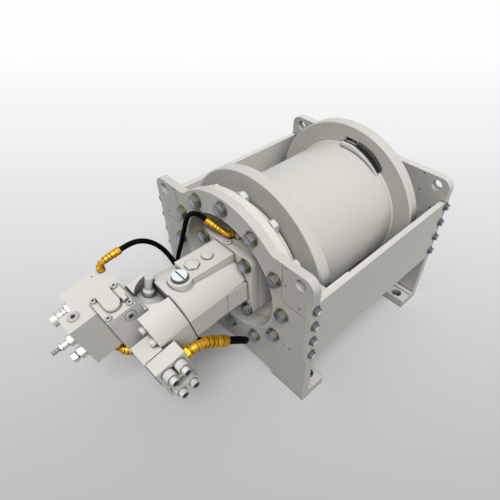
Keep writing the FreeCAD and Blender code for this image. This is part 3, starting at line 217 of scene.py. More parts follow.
@dataclass(frozen=True)
class Enamel(Finish):
    """Light grey two-pack enamel: a soft sheen, a faint orange peel, painted shade in inner corners, slits
    and deep hollows, and a painted highlight on its edges.
    """

    colour: str = "#dad8d1"
    cloud: str = "#d3d1ca"
    # corner is the colour of the painted shade in inner corners; the next colour is the painted shade of
    # slits and deep hollows.
    corner: str = "#8a877f"
    painted_shade: str = "#2b2a27"
    # rim is the colour of the painted highlight along convex edges.
    rim: str = "#fdfdfb"
    roughness: float = 0.42
    sheen_swing: Pair = (-0.05, 0.06)
    specular: float = 0.22
    coat_weight: float = 0.05
    coat_roughness: float = 0.25
    peel_mm: float = 2.4
    peel_depth_mm: float = 0.03
    cloud_mm: float = 160.0
    edge_mm: float = 1.3
    edge_lean: Pair = (0.985, 0.86)
    edge_most: float = 0.8
    corner_mm: float = 9.0
    corner_seen: Pair = (0.66, 0.30)
    crevice_mm: float = 6.0
    crevice_seen: Pair = (0.87, 0.58)
    hollow_mm: float = 110.0
    hollow_from: float = 0.44
    hollow_span: float = 0.30
    hollow_most: float = 0.92

    def coats_and_painted_shade(self, tree: NodeTree, place: NodeSocket) -> Layers:
        """Give the colours laid over the coat, second coats and painted shade: none on a plain one."""
        return []

    def gloom(self, tree: NodeTree) -> NodeSocket:
        """Find the deep hollows, where light hardly comes, for their painted shade.

        Args:
            tree: Node tree of the material.

        Returns:
            Socket with the share of the painted shade.
        """
        seen = (self.hollow_from, self.hollow_from - self.hollow_span)
        return hollow_share(tree, self.hollow_mm, seen, self.hollow_most, samples=6)

    def wire(self, tree: NodeTree, place: NodeSocket) -> tuple[dict, dict]:
        """Cloudy colour, a painted highlight on the edges, painted shade in hollows, corners and slits, and
        a sprayed surface.

        Args:
            tree: Node tree of the material.
            place: Object coordinates.

        Returns:
            The shader's fixed inputs with their values, and the others with the sockets that feed them.
        """
        cloud = add_node(tree, "ShaderNodeTexNoise", {"Scale": 1000.0 / self.cloud_mm, "Detail": 4.0},
                         {"Vector": place})
        tone = add_node(tree, "ShaderNodeMix", {"data_type": "RGBA", UNDER: linear(self.colour),
                                                OVER: linear(self.cloud)},
                        {SHARE: cloud.outputs["Fac"]}).outputs[MIXED]
        layers = self.coats_and_painted_shade(tree, place)
        rounded = add_node(tree, "ShaderNodeBevel", {"samples": 6, "Radius": self.edge_mm * MM})
        flat = add_node(tree, "ShaderNodeNewGeometry")
        lean = add_node(tree, "ShaderNodeVectorMath", {"operation": "DOT_PRODUCT"},
                        {0: rounded.outputs[0], 1: flat.outputs["Normal"]})
        # Painted highlight: the rim colour where the rounded normal leans away from the flat one.
        start, full = self.edge_lean
        painted_edge_highlight = add_node(tree, "ShaderNodeMapRange",
                        {"From Min": start, "From Max": full, "To Max": self.edge_most},
                        {"Value": lean.outputs["Value"]})
        # Painted highlight on the edges, then painted shade in deep hollows, inner corners and slits.
        layers += [(self.rim, painted_edge_highlight.outputs["Result"]), (self.painted_shade, self.gloom(tree)),
                   (self.corner, hollow_share(tree, self.corner_mm, self.corner_seen, 1.0, samples=6)),
                   (self.painted_shade, hollow_share(tree, self.crevice_mm, self.crevice_seen))]
        for colour, share in layers:
            tone = add_node(tree, "ShaderNodeMix", {"data_type": "RGBA", OVER: linear(colour)},
                            {SHARE: share, UNDER: tone}).outputs[MIXED]
        peel = add_node(tree, "ShaderNodeTexNoise", {"Scale": 1000.0 / self.peel_mm, "Detail": 2.0},
                        {"Vector": place})
        bump = add_node(tree, "ShaderNodeBump", {"Strength": 0.35, "Distance": self.peel_depth_mm * MM},
                        {"Height": peel.outputs["Fac"], "Normal": rounded.outputs[0]})
        down, up = self.sheen_swing
        sheen = add_node(tree, "ShaderNodeMapRange",
                         {"To Min": self.roughness + down, "To Max": self.roughness + up},
                         {"Value": cloud.outputs["Fac"]})
        settings = {"Specular IOR Level": self.specular, "Coat Weight": self.coat_weight,
                    "Coat Roughness": self.coat_roughness}
        return settings, {"Base Color": tone, "Roughness": sheen.outputs["Result"],
                          "Normal": bump.outputs["Normal"]}


@dataclass(frozen=True)
class TwoTone(Enamel):
    """Enamel that changes to a second coat behind a border along Y: a cream primer, and on the rope slot a
    painted shade.
    """

    second: str = "#dfddd4"
    border: float = -0.262

    def coats_and_painted_shade(self, tree: NodeTree, place: NodeSocket) -> Layers:
        """Lay the second coat where Y lies behind the border.

        Args:
            tree: Node tree of the material.
            place: Object coordinates.

        Returns:
            The second coat's colour with its share.
        """
        along = add_node(tree, "ShaderNodeSeparateXYZ", links={0: place})
        behind = add_node(tree, "ShaderNodeMath", {"operation": "GREATER_THAN", 1: self.border},
                          {0: along.outputs["Y"]})
        return [(self.second, behind.outputs[0])]


@dataclass(frozen=True)
class FacedEnamel(Enamel):
    """Enamel with painted shade on the faced flanks, the surfaces that face along Y."""

    painted_flank_shade: str = "#bfbdb6"
    flank_facing: Pair = (0.80, 0.95)

    def coats_and_painted_shade(self, tree: NodeTree, place: NodeSocket) -> Layers:
        """Give the painted shade of the flanks where the surface faces along Y."""
        return [(self.painted_flank_shade, self.flanks(tree))]

    def flanks(self, tree: NodeTree) -> NodeSocket:
        """Find the surfaces that face along Y.

        Args:
            tree: Node tree of the material.

        Returns:
            Socket with 1 on the flanks and 0 on the rims.
        """
        facing = add_node(tree, "ShaderNodeNewGeometry")
        way = add_node(tree, "ShaderNodeSeparateXYZ", links={0: facing.outputs["Normal"]})
        size = add_node(tree, "ShaderNodeMath", {"operation": "ABSOLUTE"}, {0: way.outputs["Y"]})
        start, full = self.flank_facing
        share = add_node(tree, "ShaderNodeMapRange", {"From Min": start, "From Max": full},
                         {"Value": size.outputs[0]})
        return share.outputs["Result"]

    def gloom(self, tree: NodeTree) -> NodeSocket:
        """Keep the flanks clear of the painted shade of the hollows.

        Args:
            tree: Node tree of the material.

        Returns:
            Socket with the share of the painted shade.
        """
        rest = add_node(tree, "ShaderNodeMath", {"operation": "SUBTRACT", 0: 1.0}, {1: self.flanks(tree)})
        dark = add_node(tree, "ShaderNodeMath", {"operation": "MULTIPLY"},
                        {0: super().gloom(tree), 1: rest.outputs[0]})
        return dark.outputs[0]


@dataclass(frozen=True)
class MachinedMetal(Finish):
    """Bare or plated metal with fine tool marks that spread its highlights one way."""

    colour: str
    tint: str
    roughness: float = 0.28
    gloss_swing: Pair = (-0.06, 0.10)
    mark_mm: float = 0.6
    mark_depth_mm: float = 0.01
    stretch: Triple = (1.0, 1.0, 1.0)
    patches_per_metre: float = 90.0
    edge_mm: float = 0.6
    metallic: float = 1.0
    # Colour of the painted light on the middle of a head: a highlight where it is pale, shade in a socket
    # where it is dark.
    painted_light: str = ""
    painted_contact_shade: str = "#171613"
    crevice_mm: float = 4.0
    crevice_seen: Pair = (0.84, 0.52)

    def wire(self, tree: NodeTree, place: NodeSocket) -> tuple[dict, dict]:
        """Two near tones in patches, painted shade along contact lines, painted light on the middles of
        heads, fine marks in the bump and softened edges.

        Args:
            tree: Node tree of the material.
            place: Object coordinates.

        Returns:
            The shader's fixed inputs with their values, and the others with the sockets that feed them.
        """
        aim = add_node(tree, "ShaderNodeMapping", {"Scale": self.stretch}, {"Vector": place})
        patch = add_node(tree, "ShaderNodeTexNoise", {"Scale": self.patches_per_metre, "Detail": 3.0},
                         {"Vector": place})
        tone = add_node(tree, "ShaderNodeMix", {"data_type": "RGBA", UNDER: linear(self.colour),
                                                OVER: linear(self.tint)},
                        {SHARE: patch.outputs["Fac"]}).outputs[MIXED]
        marks = add_node(tree, "ShaderNodeTexNoise", {"Scale": 1000.0 / self.mark_mm, "Detail": 1.0},
                         {"Vector": aim.outputs["Vector"]})
        down, up = self.gloss_swing
        gloss = add_node(tree, "ShaderNodeMapRange",
                         {"To Min": self.roughness + down, "To Max": self.roughness + up},
                         {"Value": marks.outputs["Fac"]})
        rounded = add_node(tree, "ShaderNodeBevel", {"samples": 4, "Radius": self.edge_mm * MM})
        bump = add_node(tree, "ShaderNodeBump", {"Strength": 0.3, "Distance": self.mark_depth_mm * MM},
                        {"Height": marks.outputs["Fac"], "Normal": rounded.outputs[0]})
        layers: Layers = []
        # Painted light from the mesh's crown share: a highlight where the colour is pale, shade in a socket
        # where it is dark.
        if self.painted_light:
            middle = add_node(tree, "ShaderNodeAttribute", {"attribute_name": "painted_light"})
            layers.append((self.painted_light, middle.outputs["Fac"]))
        # Painted shade along contact lines.
        layers.append((self.painted_contact_shade, hollow_share(tree, self.crevice_mm, self.crevice_seen)))
        for colour, share in layers:
            tone = add_node(tree, "ShaderNodeMix", {"data_type": "RGBA", OVER: linear(colour)},
                            {SHARE: share, UNDER: tone}).outputs[MIXED]
        return {"Metallic": self.metallic}, {"Base Color": tone, "Roughness": gloss.outputs["Result"],
                                             "Normal": bump.outputs["Normal"]}


@dataclass(frozen=True)
class DullSolid(Finish):
    """Rubber, polymer or friction facing: no metal, a dull surface with a moulded or pressed grain."""

    colour: str
    fleck: str
    roughness: float = 0.55
    gloss_swing: Pair = (-0.08, 0.08)
    grain_mm: float = 1.2
    grain_depth_mm: float = 0.05
    specular: float = 0.5

    def wire(self, tree: NodeTree, place: NodeSocket) -> tuple[dict, dict]:
        """Flecked colour, a grain in the bump and a roughness that follows it.

        Args:
            tree: Node tree of the material.
            place: Object coordinates.

        Returns:
            The shader's fixed inputs with their values, and the others with the sockets that feed them.
        """
        grain = add_node(tree, "ShaderNodeTexNoise", {"Scale": 1000.0 / self.grain_mm, "Detail": 3.0},
                         {"Vector": place})
        tone = add_node(tree, "ShaderNodeMix", {"data_type": "RGBA", UNDER: linear(self.colour),
                                                OVER: linear(self.fleck)}, {SHARE: grain.outputs["Fac"]})
        down, up = self.gloss_swing
        gloss = add_node(tree, "ShaderNodeMapRange",
                         {"To Min": self.roughness + down, "To Max": self.roughness + up},
                         {"Value": grain.outputs["Fac"]})
        bump = add_node(tree, "ShaderNodeBump", {"Strength": 0.4, "Distance": self.grain_depth_mm * MM},
                        {"Height": grain.outputs["Fac"]})
        return {"Specular IOR Level": self.specular}, {
            "Base Color": tone.outputs[MIXED], "Roughness": gloss.outputs["Result"],
            "Normal": bump.outputs["Normal"]}


# The coat on flat plate is smooth; on castings the sand grain shows through it; on turned rims it is
# finest. Faced flanks get painted shade, the cream primer starts behind the plate, and the rope slot
# gets painted shade inside.
PLATE_ENAMEL = Enamel("enamel_on_rolled_plate", "#d0cec7", "#c9c7c0")
CAST_ENAMEL = Enamel("enamel_on_sand_casting", "#d8d6cf", "#d1cfc8", peel_mm=3.2, peel_depth_mm=0.09,
                     roughness=0.46)
TURNED_ENAMEL = Enamel("enamel_on_turned_steel", roughness=0.34, peel_depth_mm=0.02)
MILLED_ENAMEL = Enamel("enamel_on_milled_block", roughness=0.38, edge_mm=0.9, hollow_from=0.30)
CREAM_PRIMER = TwoTone("cream_primer_behind_the_plate", roughness=0.5, hollow_from=0.30)
DRUM_ENAMEL = FacedEnamel("enamel_on_turned_drum", "#d4d2cb", "#cdcbc4", roughness=0.34,
                          peel_depth_mm=0.02, hollow_from=0.45)
REAR_ENAMEL = FacedEnamel("enamel_on_faced_plate", painted_flank_shade="#bdbbb4", hollow_from=0.50)
SHEET_ENAMEL = Enamel("enamel_on_sheared_sheet", hollow_from=0.55)
# In the rope slot the second coat is near-black painted shade, and the painted edge highlight is dimmer.
SLOT_ENAMEL = TwoTone("enamel_with_painted_shade_in_rope_slot", rim="#d8d6d0", second="#1d1c1a", border=ROPE_SLOT_Y)
# Clear passivated zinc has a cold cast, dark flanks and a painted highlight on the middle of each head;
# yellow passivate is warm; bright steel keeps its tool marks; a socket gets painted shade inside, in a
# bare and in a painted screw; valve bodies are pale and satin; ground gears and bearings gleam, springs
# are oily grey and ductile iron is dull.
ZINC_PLATED = MachinedMetal("blue_passivated_zinc", "#96958a", "#817f75", roughness=0.25, metallic=0.8,
                            painted_light="#a9abd8")
ZINC_SCREW = MachinedMetal("bright_passivated_zinc", "#74737c", "#63626b", roughness=0.25, metallic=0.12,
                           painted_light="#ffffff")
ZINC_NUT = MachinedMetal("pale_passivated_zinc", "#f1f1ec", "#dededa", roughness=0.33, metallic=0.5,
                         painted_light="#ffffff")
BRIGHT_STEEL = MachinedMetal("bright_turned_steel", "#f7fbfc", "#e9eff2", roughness=0.22, metallic=0.45,
                             stretch=(1.0, 1.0, 6.0))
SOCKET_STEEL = MachinedMetal("zinc_screw_with_painted_socket_shade", "#e9e8e4", "#dcdbd6", roughness=0.36,
                             metallic=0.4, painted_light="#4c4c5e")
SOCKET_PAINTED = MachinedMetal("enamel_on_socket_screw", "#dad8d1", "#d0cec7", roughness=0.42,
                               metallic=0.0, painted_light="#2d2b28")
PLATED_VALVE = MachinedMetal("bright_zinc_on_valve_body", "#d9d8d3", "#cdccc7", roughness=0.38,
                             metallic=0.4)
YELLOW_ZINC = MachinedMetal("yellow_passivated_zinc", "#d9a830", "#c9941e", roughness=0.42, metallic=0.8)
GROUND_STEEL = MachinedMetal("ground_gear_steel", "#b9babd", "#a9aaad", roughness=0.25)
BEARING_STEEL = MachinedMetal("hardened_bearing_steel", "#c4c5c7", "#b5b6b8", roughness=0.18)
OILED_SPRING = MachinedMetal("oiled_spring_steel", "#8b8c8e", "#7a7b80", roughness=0.35)
DUCTILE_IRON = MachinedMetal("machined_ductile_iron", "#75757a", "#66666a", roughness=0.45, mark_mm=1.4)
# Hose cover is matt and nearly black, pads are pale polyamide, seals and friction facings have a pressed
# grain.
HOSE_RUBBER = DullSolid("wrapped_hose_rubber", "#040404", "#090909", roughness=0.62, grain_mm=0.9,
                        specular=0.04)
WEAR_POLYMER = DullSolid("cast_polyamide_pad", "#eae8e1", "#e0ddd5", roughness=0.5)
FIBRE_SEAL = DullSolid("compressed_fibre_seal", "#24231f", "#1c1b18", roughness=0.7, grain_mm=0.6)
FRICTION_FACING = DullSolid("sintered_friction_facing", "#5a4b3c", "#463a2f", roughness=0.7, grain_mm=0.5)


# Surfaces

ROUND_COLUMNS = 48
THREAD_COLUMNS = 24
BEAD_COLUMNS = 10
HALF_SIDE = math.pi / 6.0


@dataclass
class Skin:
    """Surface as corner positions, rows of four corner numbers and a share of painted light for each
    corner.
    """

    points: np.ndarray
    quads: np.ndarray
    painted_light: np.ndarray

    @staticmethod
    def from_grid(grid: np.ndarray, painted_light: list[float] | None = None) -> "Skin":
        """Join a grid of points into quads, closed round its second direction.

        Args:
            grid: Positions with shape (rows, columns, 3).
            painted_light: Share from 0 to 1 of painted light on each row, for the middle of a head.

        Returns:
            The skin.
        """
        rows, columns = grid.shape[:2]
        number = np.arange(rows * columns).reshape(rows, columns)
        after = np.roll(number, -1, axis=1)
        quads = np.stack([number[:-1], after[:-1], after[1:], number[1:]], axis=-1)
        share = np.zeros(rows) if painted_light is None else np.asarray(painted_light, float)
        return Skin(grid.reshape(-1, 3), quads.reshape(-1, 4), np.repeat(share, columns))

    @staticmethod
    def joined(skins: list["Skin"]) -> "Skin":
        """Put several skins into one, side by side.

        Args:
            skins: The skins.

        Returns:
            One skin with all of them.
        """
        counts = np.cumsum([0] + [len(s.points) for s in skins[:-1]])
        quads = np.concatenate([s.quads + c for s, c in zip(skins, counts)])
        return Skin(np.concatenate([s.points for s in skins]), quads,
                    np.concatenate([s.painted_light for s in skins]))

    def set_at(self, seats: np.ndarray, outward: np.ndarray) -> "Skin":
        """Copy the skin to one or more seats with its Z axis turned outward.

        Args:
            seats: Position, or positions with shape (count, 3).
            outward: Direction that the skin's own Z takes.

        Returns:
            One skin with all the copies.
        """
        seats = np.atleast_2d(seats)
        points = (seats[:, None, :] + (self.points @ basis(outward).T)[None]).reshape(-1, 3)
        steps = np.arange(len(seats))[:, None, None] * len(self.points)
        return Skin(points, (self.quads[None] + steps).reshape(-1, 4), np.tile(self.painted_light, len(seats)))


def basis(outward: np.ndarray) -> np.ndarray:
    """Turn a direction into a rotation.

    Args:
        outward: Direction for the third column.

    Returns:
        Matrix whose columns are two cross directions and the unit outward direction.
    """
    z = np.asarray(outward, float) / np.linalg.norm(outward)
    helper = UP if abs(z[2]) < 0.9 else np.array([1.0, 0.0, 0.0])
    x = np.cross(helper, z)
    x /= np.linalg.norm(x)
    return np.stack([x, np.cross(z, x), z], axis=1)


def around(columns: int) -> np.ndarray:
    """Give the angles of equal steps round an axis, in radians."""
    return np.linspace(0.0, 2.0 * math.pi, columns, endpoint=False)


def revolve(profile: list[tuple], columns: int = ROUND_COLUMNS, painted_light: list[float] | None = None) -> Skin:
    """Turn a profile about Z: each point is radius times cosine, radius times sine, height.

    Args:
        profile: Pairs of radius and height in millimetres from one pole to the other, each of them a
            number or an array with a value for each step round the axis.
        columns: Steps round the axis.
        painted_light: Share of painted light for each pair.

    Returns:
        The turned skin in metres.
    """
    angle = around(columns)
    radius, height = (np.stack([np.broadcast_to(v, columns) for v in side]) for side in zip(*profile))
    grid = np.stack([radius * np.cos(angle), radius * np.sin(angle), height], axis=-1)
    return Skin.from_grid(grid * MM, painted_light)


def hexagon_reach(flats: float) -> np.ndarray:
    """Give a hexagon's radius round the axis: half the flats over the cosine of the angle from the
    middle of the nearest side.

    Args:
        flats: Width across the flats in millimetres.

    Returns:
        Radius in millimetres at each step.
    """
    off = (around(ROUND_COLUMNS) + HALF_SIDE) % (2.0 * HALF_SIDE) - HALF_SIDE
    return flats / 2.0 / np.cos(off)


def hexagon_head(flats: float, height: float, base: float = 0.0, painted_light: float = 0.35) -> Skin:
    """Chamfered hexagon under a low dome: its upper edge falls by 0.6 of how far it lies outside the
    chamfer circle, which is 0.93 of the flats and stands at 0.96 of the height.

    Args:
        flats: Width across the flats in millimetres.
        height: Height of the head in millimetres.
        base: Height at which the head starts in millimetres.
        painted_light: Share of painted light half way from the middle of the head to its edge.

    Returns:
        The skin in metres, standing along Z.
    """
    reach = hexagon_reach(flats)
    ring = flats / 2.0 * 0.93
    shoulder = base + height * 0.96
    profile = [(0.0, base), (reach, base), (reach, shoulder - (reach - ring) * 0.6), (ring, shoulder),
               (ring * 0.62, base + height * 0.985), (ring * 0.3, base + height * 0.995),
               (0.0, base + height)]
    return revolve(profile, painted_light=[0.0, 0.0, 0.0, 0.0, painted_light, 1.0, 1.0])


def socket_head(radius: float, height: float, key: float, face: float = 0.1) -> Skin:
    """Cap screw head: a chamfered cylinder whose top sinks into a hexagon socket.

    Args:
        radius: Radius of the head in millimetres.
        height: Height of the head in millimetres.
        key: Width across the flats of the socket in millimetres.
        face: Share of painted shade on the flat face round the socket.

    Returns:
        The skin in metres, standing along Z.
    """
    chamfer, lip, tip = 0.8, 0.6, 1.0
    reach, floor = hexagon_reach(key), height * 0.45
    profile = [(0.0, 0.0), (radius, 0.0), (radius, height - chamfer), (radius - chamfer, height),
               (reach + lip, height), (reach, height - lip), (reach, floor), (0.0, floor - tip)]
    return revolve(profile, painted_light=[0.0, 0.0, 0.0, face, face + 0.3, 1.0, 1.0, 1.0])


def threaded(radius: float, start: float, stop: float, pitch: float) -> Skin:
    """Screw thread: the radius falls by 0.6 of the pitch and rises again once per pitch along a helix,
    with flat closed ends.

    Args:
        radius: Outer radius in millimetres.
        start: Lower end in millimetres.
        stop: Upper end in millimetres.
        pitch: Rise per turn in millimetres.

    Returns:
        The skin in metres, standing along Z.
    """
    rows_per_turn, fewest = 6, 4
    height = np.linspace(start, stop, max(fewest, int(abs(stop - start) / pitch * rows_per_turn)))
    turns = height[:, None] / pitch - around(THREAD_COLUMNS) / (2.0 * math.pi)
    wave = np.abs(turns % 1.0 - 0.5) * 2.0
    return revolve([(0.0, start), *zip(radius - 0.6 * pitch * wave, height), (0.0, stop)], THREAD_COLUMNS)


def knurled(radius: float, height: float, teeth: int) -> Skin:
    """Knurled ring: the radius swings by 0.5 mm round the circle once per tooth.

    Args:
        radius: Mean radius in millimetres.
        height: Height of the ring in millimetres.
        teeth: Number of teeth.

    Returns:
        The skin in metres, standing along Z.
    """
    columns, swing, root, bevel = teeth * 6, 0.5, radius - 0.6, 0.5
    wave = radius + swing * np.cos(teeth * around(columns))
    return revolve([(0.0, 0.0), (root, 0.0), (wave, bevel), (wave, height - bevel), (root, height),
                    (0.0, height)], columns)


def carried(path: np.ndarray, stations: np.ndarray, columns: int = 28) -> Skin:
    """Carry a circle along a path: each ring lies across the path's direction at its station's radius.

    Args:
        path: Points along the middle line in metres with shape (count, 3).
        stations: Rows of share of the path's length and radius in metres.
        columns: Steps round the path.

    Returns:
        The skin, closed to a point at both ends.
    """
    steps = np.linalg.norm(np.diff(path, axis=0), axis=1)
    marks = np.concatenate([[0.0], np.cumsum(steps)]) / steps.sum()
    share = np.concatenate([stations[:1, 0], stations[:, 0], stations[-1:, 0]])
    size = np.concatenate([[0.0], stations[:, 1], [0.0]])
    places = (np.clip(share - 1e-3, 0.0, 1.0), share, np.clip(share + 1e-3, 0.0, 1.0))
    near, centre, far = (np.stack([np.interp(place, marks, path[:, k]) for k in range(3)], axis=-1)
                         for place in places)
    along = far - near
    along /= np.linalg.norm(along, axis=1)[:, None]
    helper = np.cross(path[1] - path[0], path[-1] - path[-2])
    side = np.cross(helper / np.linalg.norm(helper), along)
    side /= np.linalg.norm(side, axis=1)[:, None]
    up = np.cross(along, side)
    angle = around(columns)[None, :, None]
    ring = side[:, None] * np.cos(angle) + up[:, None] * np.sin(angle)
    return Skin.from_grid(centre[:, None] + ring * size[:, None, None])


def bead(path: np.ndarray, radius_mm: float, rings: int) -> Skin:
    """Carry one thin circle along a path.

    Args:
        path: Points along the middle line in metres.
        radius_mm: Radius of the bead in millimetres.
        rings: Circles along the path.

    Returns:
        The skin of the bead.
    """
    stations = np.stack([np.linspace(0.0, 1.0, rings), np.full(rings, radius_mm * MM)], axis=-1)
    return carried(path, stations, BEAD_COLUMNS)


def blended(start: np.ndarray, corner: np.ndarray, stop: np.ndarray, steps: int) -> np.ndarray:
    """Blend two ends and the corner outside them by the squares of the way left and the way gone, and
    twice their product.

    Args:
        start: First end.
        corner: Corner that the curve leans to.
        stop: Last end.
        steps: Points on the curve.

    Returns:
        Points of the curve.
    """
    gone = np.linspace(0.0, 1.0, steps)[:, None]
    return (1 - gone) ** 2 * start + 2 * gone * (1 - gone) * corner + gone ** 2 * stop


def bent_pipe(corners: np.ndarray, radius: float) -> np.ndarray:
    """Give the middle line of a pipe whose corners are bent as quadratic blends.

    Args:
        corners: Corner points in metres.
        radius: Distance from a corner at which its bend starts, in metres.

    Returns:
        Points along the pipe.
    """
    most_of_run, steps = 0.49, 9
    points = [corners[:1]]
    for before, here, after in zip(corners[:-2], corners[1:-1], corners[2:]):
        ends = []
        for way in (before - here, after - here):
            run = np.linalg.norm(way)
            ends.append(here + way / run * min(radius, run * most_of_run))
        points.append(blended(ends[0], here, ends[1], steps))
    points.append(corners[-1:])
    return np.concatenate(points)


# Pieces and fasteners

WELD = 2e-6
SPLINTER = 1e-6
SHARP_DEGREES = 32.0


class Body(Enum):
    """Rigid bodies that carry the fine pieces."""

    FRAME = "frame"
    DRUM = "drum"


class Hexagon(Enum):
    """Screws and nuts: flats, height and washer in millimetres."""

    M12 = (18.0, 8.0, 24.0)
    M16 = (24.0, 10.0, 30.0)
    M20 = (30.0, 12.5, 37.0)
    M20_NUT = (30.0, 16.0, 37.0)


def add_piece(name: str, skin: Skin, finish: Finish, *replaces: str, body: Body = Body.FRAME) -> None:
    """Make a piece from a skin, with closed poles and outward faces.

    Args:
        name: Name of the piece.
        skin: Its surface in the frame's metres.
        finish: Finish of the whole piece.
        *replaces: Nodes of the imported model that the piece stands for.
        body: Body that carries the piece.
    """
    mesh = bpy.data.meshes.new(name)
    mesh.from_pydata(skin.points, [], skin.quads)
    if skin.painted_light.any():
        mesh.attributes.new("painted_light", "FLOAT", "POINT").data.foreach_set("value", skin.painted_light)
    work = bmesh.new()
    work.from_mesh(mesh)
    bmesh.ops.remove_doubles(work, verts=work.verts, dist=WELD)
    bmesh.ops.dissolve_degenerate(work, edges=work.edges, dist=SPLINTER)
    bmesh.ops.recalc_face_normals(work, faces=work.faces)
    work.to_mesh(mesh)
    work.free()
    mesh.shade_smooth()
    mesh.set_sharp_from_angle(angle=math.radians(SHARP_DEGREES))
    mesh.materials.append(finish.material())
    piece = placed(name, mesh)
    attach(piece, body.value)
    if replaces:
        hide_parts(*replaces)
    log.info("piece %s: %d faces on body %s", name, len(mesh.polygons), body.value)


def circle_of(radius: float, count: int, y: float) -> np.ndarray:
    """Seats on a circle about the drum axis, the first at the top.

    Args:
        radius: Radius of the circle in metres.
        count: Number of seats.
        y: Place along the drum in metres.

    Returns:
        Positions with shape (count, 3).
    """
    angle = around(count)
    height = DRUM_AXIS + radius * np.cos(angle)
    return np.stack([radius * np.sin(angle), np.full(count, y), height], axis=-1)


def bolt_skin(size: Hexagon, painted_light: float = 0.35) -> Skin:
    """Hexagon head on a chamfered washer, standing along Z.

    Args:
        size: Size of the screw or nut.
        painted_light: Share of painted light half way from the middle of the head to its edge.

    Returns:
        The skin in metres.
    """
    flats, height, washer = size.value
    rim, lip, thick = washer / 2, 0.4, 3.0
    ring = revolve([(0, 0), (rim - lip, 0), (rim, lip), (rim, thick - lip), (rim - lip, thick),
                    (0, thick)])
    return Skin.joined([ring, hexagon_head(flats, height, thick, painted_light)])


# Sub-assemblies

Coats = tuple[tuple[Finish, tuple[str, ...]], ...]


@dataclass
class Assembly:
    """Part of the winch: its fine pieces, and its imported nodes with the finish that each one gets."""

    coats: Coats = ()

    def build(self) -> None:
        """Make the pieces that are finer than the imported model."""

    def dress(self) -> None:
        """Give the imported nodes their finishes."""
        for finish, nodes in self.coats:
            for name in nodes:
                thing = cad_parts[name]
                if not thing.material_slots:
                    thing.data.materials.append(finish.material())
                for slot in thing.material_slots:
                    slot.material = finish.material()
                log.info("node %s: %s", name, finish.name)


@dataclass(frozen=True)
class Lean:
    """Frame of the motor's end assembly, tilted about X."""

    degrees: float = 10.8
    origin: Triple = (0.0, -0.462, 0.295)

    def direction(self, vector: Triple) -> np.ndarray:
        """Turn a direction of the end assembly into the winch's frame.

        Args:
            vector: Direction in the tilted frame.

        Returns:
            The direction in the winch's frame.
        """
        c, s = math.cos(math.radians(self.degrees)), math.sin(math.radians(self.degrees))
        x, y, z = np.asarray(vector, float)
        return np.array([x, y * c - z * s, y * s + z * c])

    def point(self, x: float, y: float, z: float) -> np.ndarray:
        """Turn a place of the end assembly in millimetres into the winch's frame."""
        return self.direction(np.array([x, y, z]) * MM) + np.array(self.origin)


LEAN = Lean()


@dataclass
class EndFrame(Assembly):
    """End plates, side sheets, feet and the screws that tie them."""

    half_width: float = 0.290
    screw_y: float = 0.273
    first_level: float = 0.2155
    pitch: float = 0.0541
    per_corner: int = 4
    # Share of the painted highlight half way across each sheet screw's head.
    screw_painted_light: float = 0.9
    coats: Coats = (
        (PLATE_ENAMEL, ("front_plate", "foot_front_left", "foot_front_right", "foot_rear_left",
                        "foot_rear_right", "flange_guides")),
        (REAR_ENAMEL, ("rear_plate",)), (SHEET_ENAMEL, ("left_side_sheet", "right_side_sheet")),
        (WEAR_POLYMER, ("flange_pads",)))

    def build(self) -> None:
        """Turn the screws of the side sheets."""
        levels = self.first_level + self.pitch * np.arange(self.per_corner)
        screw = bolt_skin(Hexagon.M12, self.screw_painted_light)
        screws = []
        for side in (-1.0, 1.0):
            seats = [(side * self.half_width, y, z) for y in (-self.screw_y, self.screw_y) for z in levels]
            screws.append(screw.set_at(np.array(seats), side * TO_RIGHT))
        add_piece("sheet_hex_screws", Skin.joined(screws), ZINC_SCREW, "sheet_screws")


@dataclass
class Gearbox(Assembly):
    """Planetary gearbox in the drum's near end, with its bolted flange."""

    screw_circle: float = 0.2025
    count: int = 12
    plate_face: float = -0.284
    nut_face: float = -0.232
    coats: Coats = (
        (CREAM_PRIMER, ("gearbox_housing",)),
        (GROUND_STEEL, ("ring_gear", "planet_gear_1", "planet_gear_2", "planet_gear_3", "planet_pins",
                        "sun_shaft")),
        (DUCTILE_IRON, ("planet_carrier",)), (BEARING_STEEL, ("front_bearing", "rear_bearing")))

    def build(self) -> None:
        """Turn the ring screws and their nuts with threaded ends."""
        seats = circle_of(self.screw_circle, self.count, self.plate_face)
        add_piece("ring_hex_screws", bolt_skin(Hexagon.M20).set_at(seats, TO_MOTOR), ZINC_PLATED,
                  "ring_screws")
        seats = circle_of(self.screw_circle, self.count, self.nut_face)
        thread = threaded(radius=9.9, start=17.0, stop=23.0, pitch=2.5)
        nut = Skin.joined([bolt_skin(Hexagon.M20_NUT), thread])
        add_piece("ring_hex_nuts", nut.set_at(seats, TO_REAR), ZINC_NUT, "ring_nuts")


@dataclass
class RopeDrum(Assembly):
    """Flanged drum with the rope's wedge and clamp."""

    screw_flats_mm: float = 18.0
    chamfered_flats_mm: float = 17.6
    head_mm: float = 8.0
    coats: Coats = ((DRUM_ENAMEL, ("drum", "rope_clamp")), (SLOT_ENAMEL, ("rope_wedge",)))

    def build(self) -> None:
        """Turn the chamfered screws of the rope clamp, at both ends of its packed ones."""
        low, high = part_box("rope_clamp_screws")
        half = self.screw_flats_mm / 2.0 / math.cos(HALF_SIDE) * MM
        seats = np.array([(x, low.y, (low.z + high.z) / 2) for x in (low.x + half, high.x - half)])
        head = hexagon_head(self.chamfered_flats_mm, self.head_mm)
        add_piece("rope_clamp_hex_screws", head.set_at(seats, TO_REAR), ZINC_PLATED, "rope_clamp_screws",
                  body=Body.DRUM)


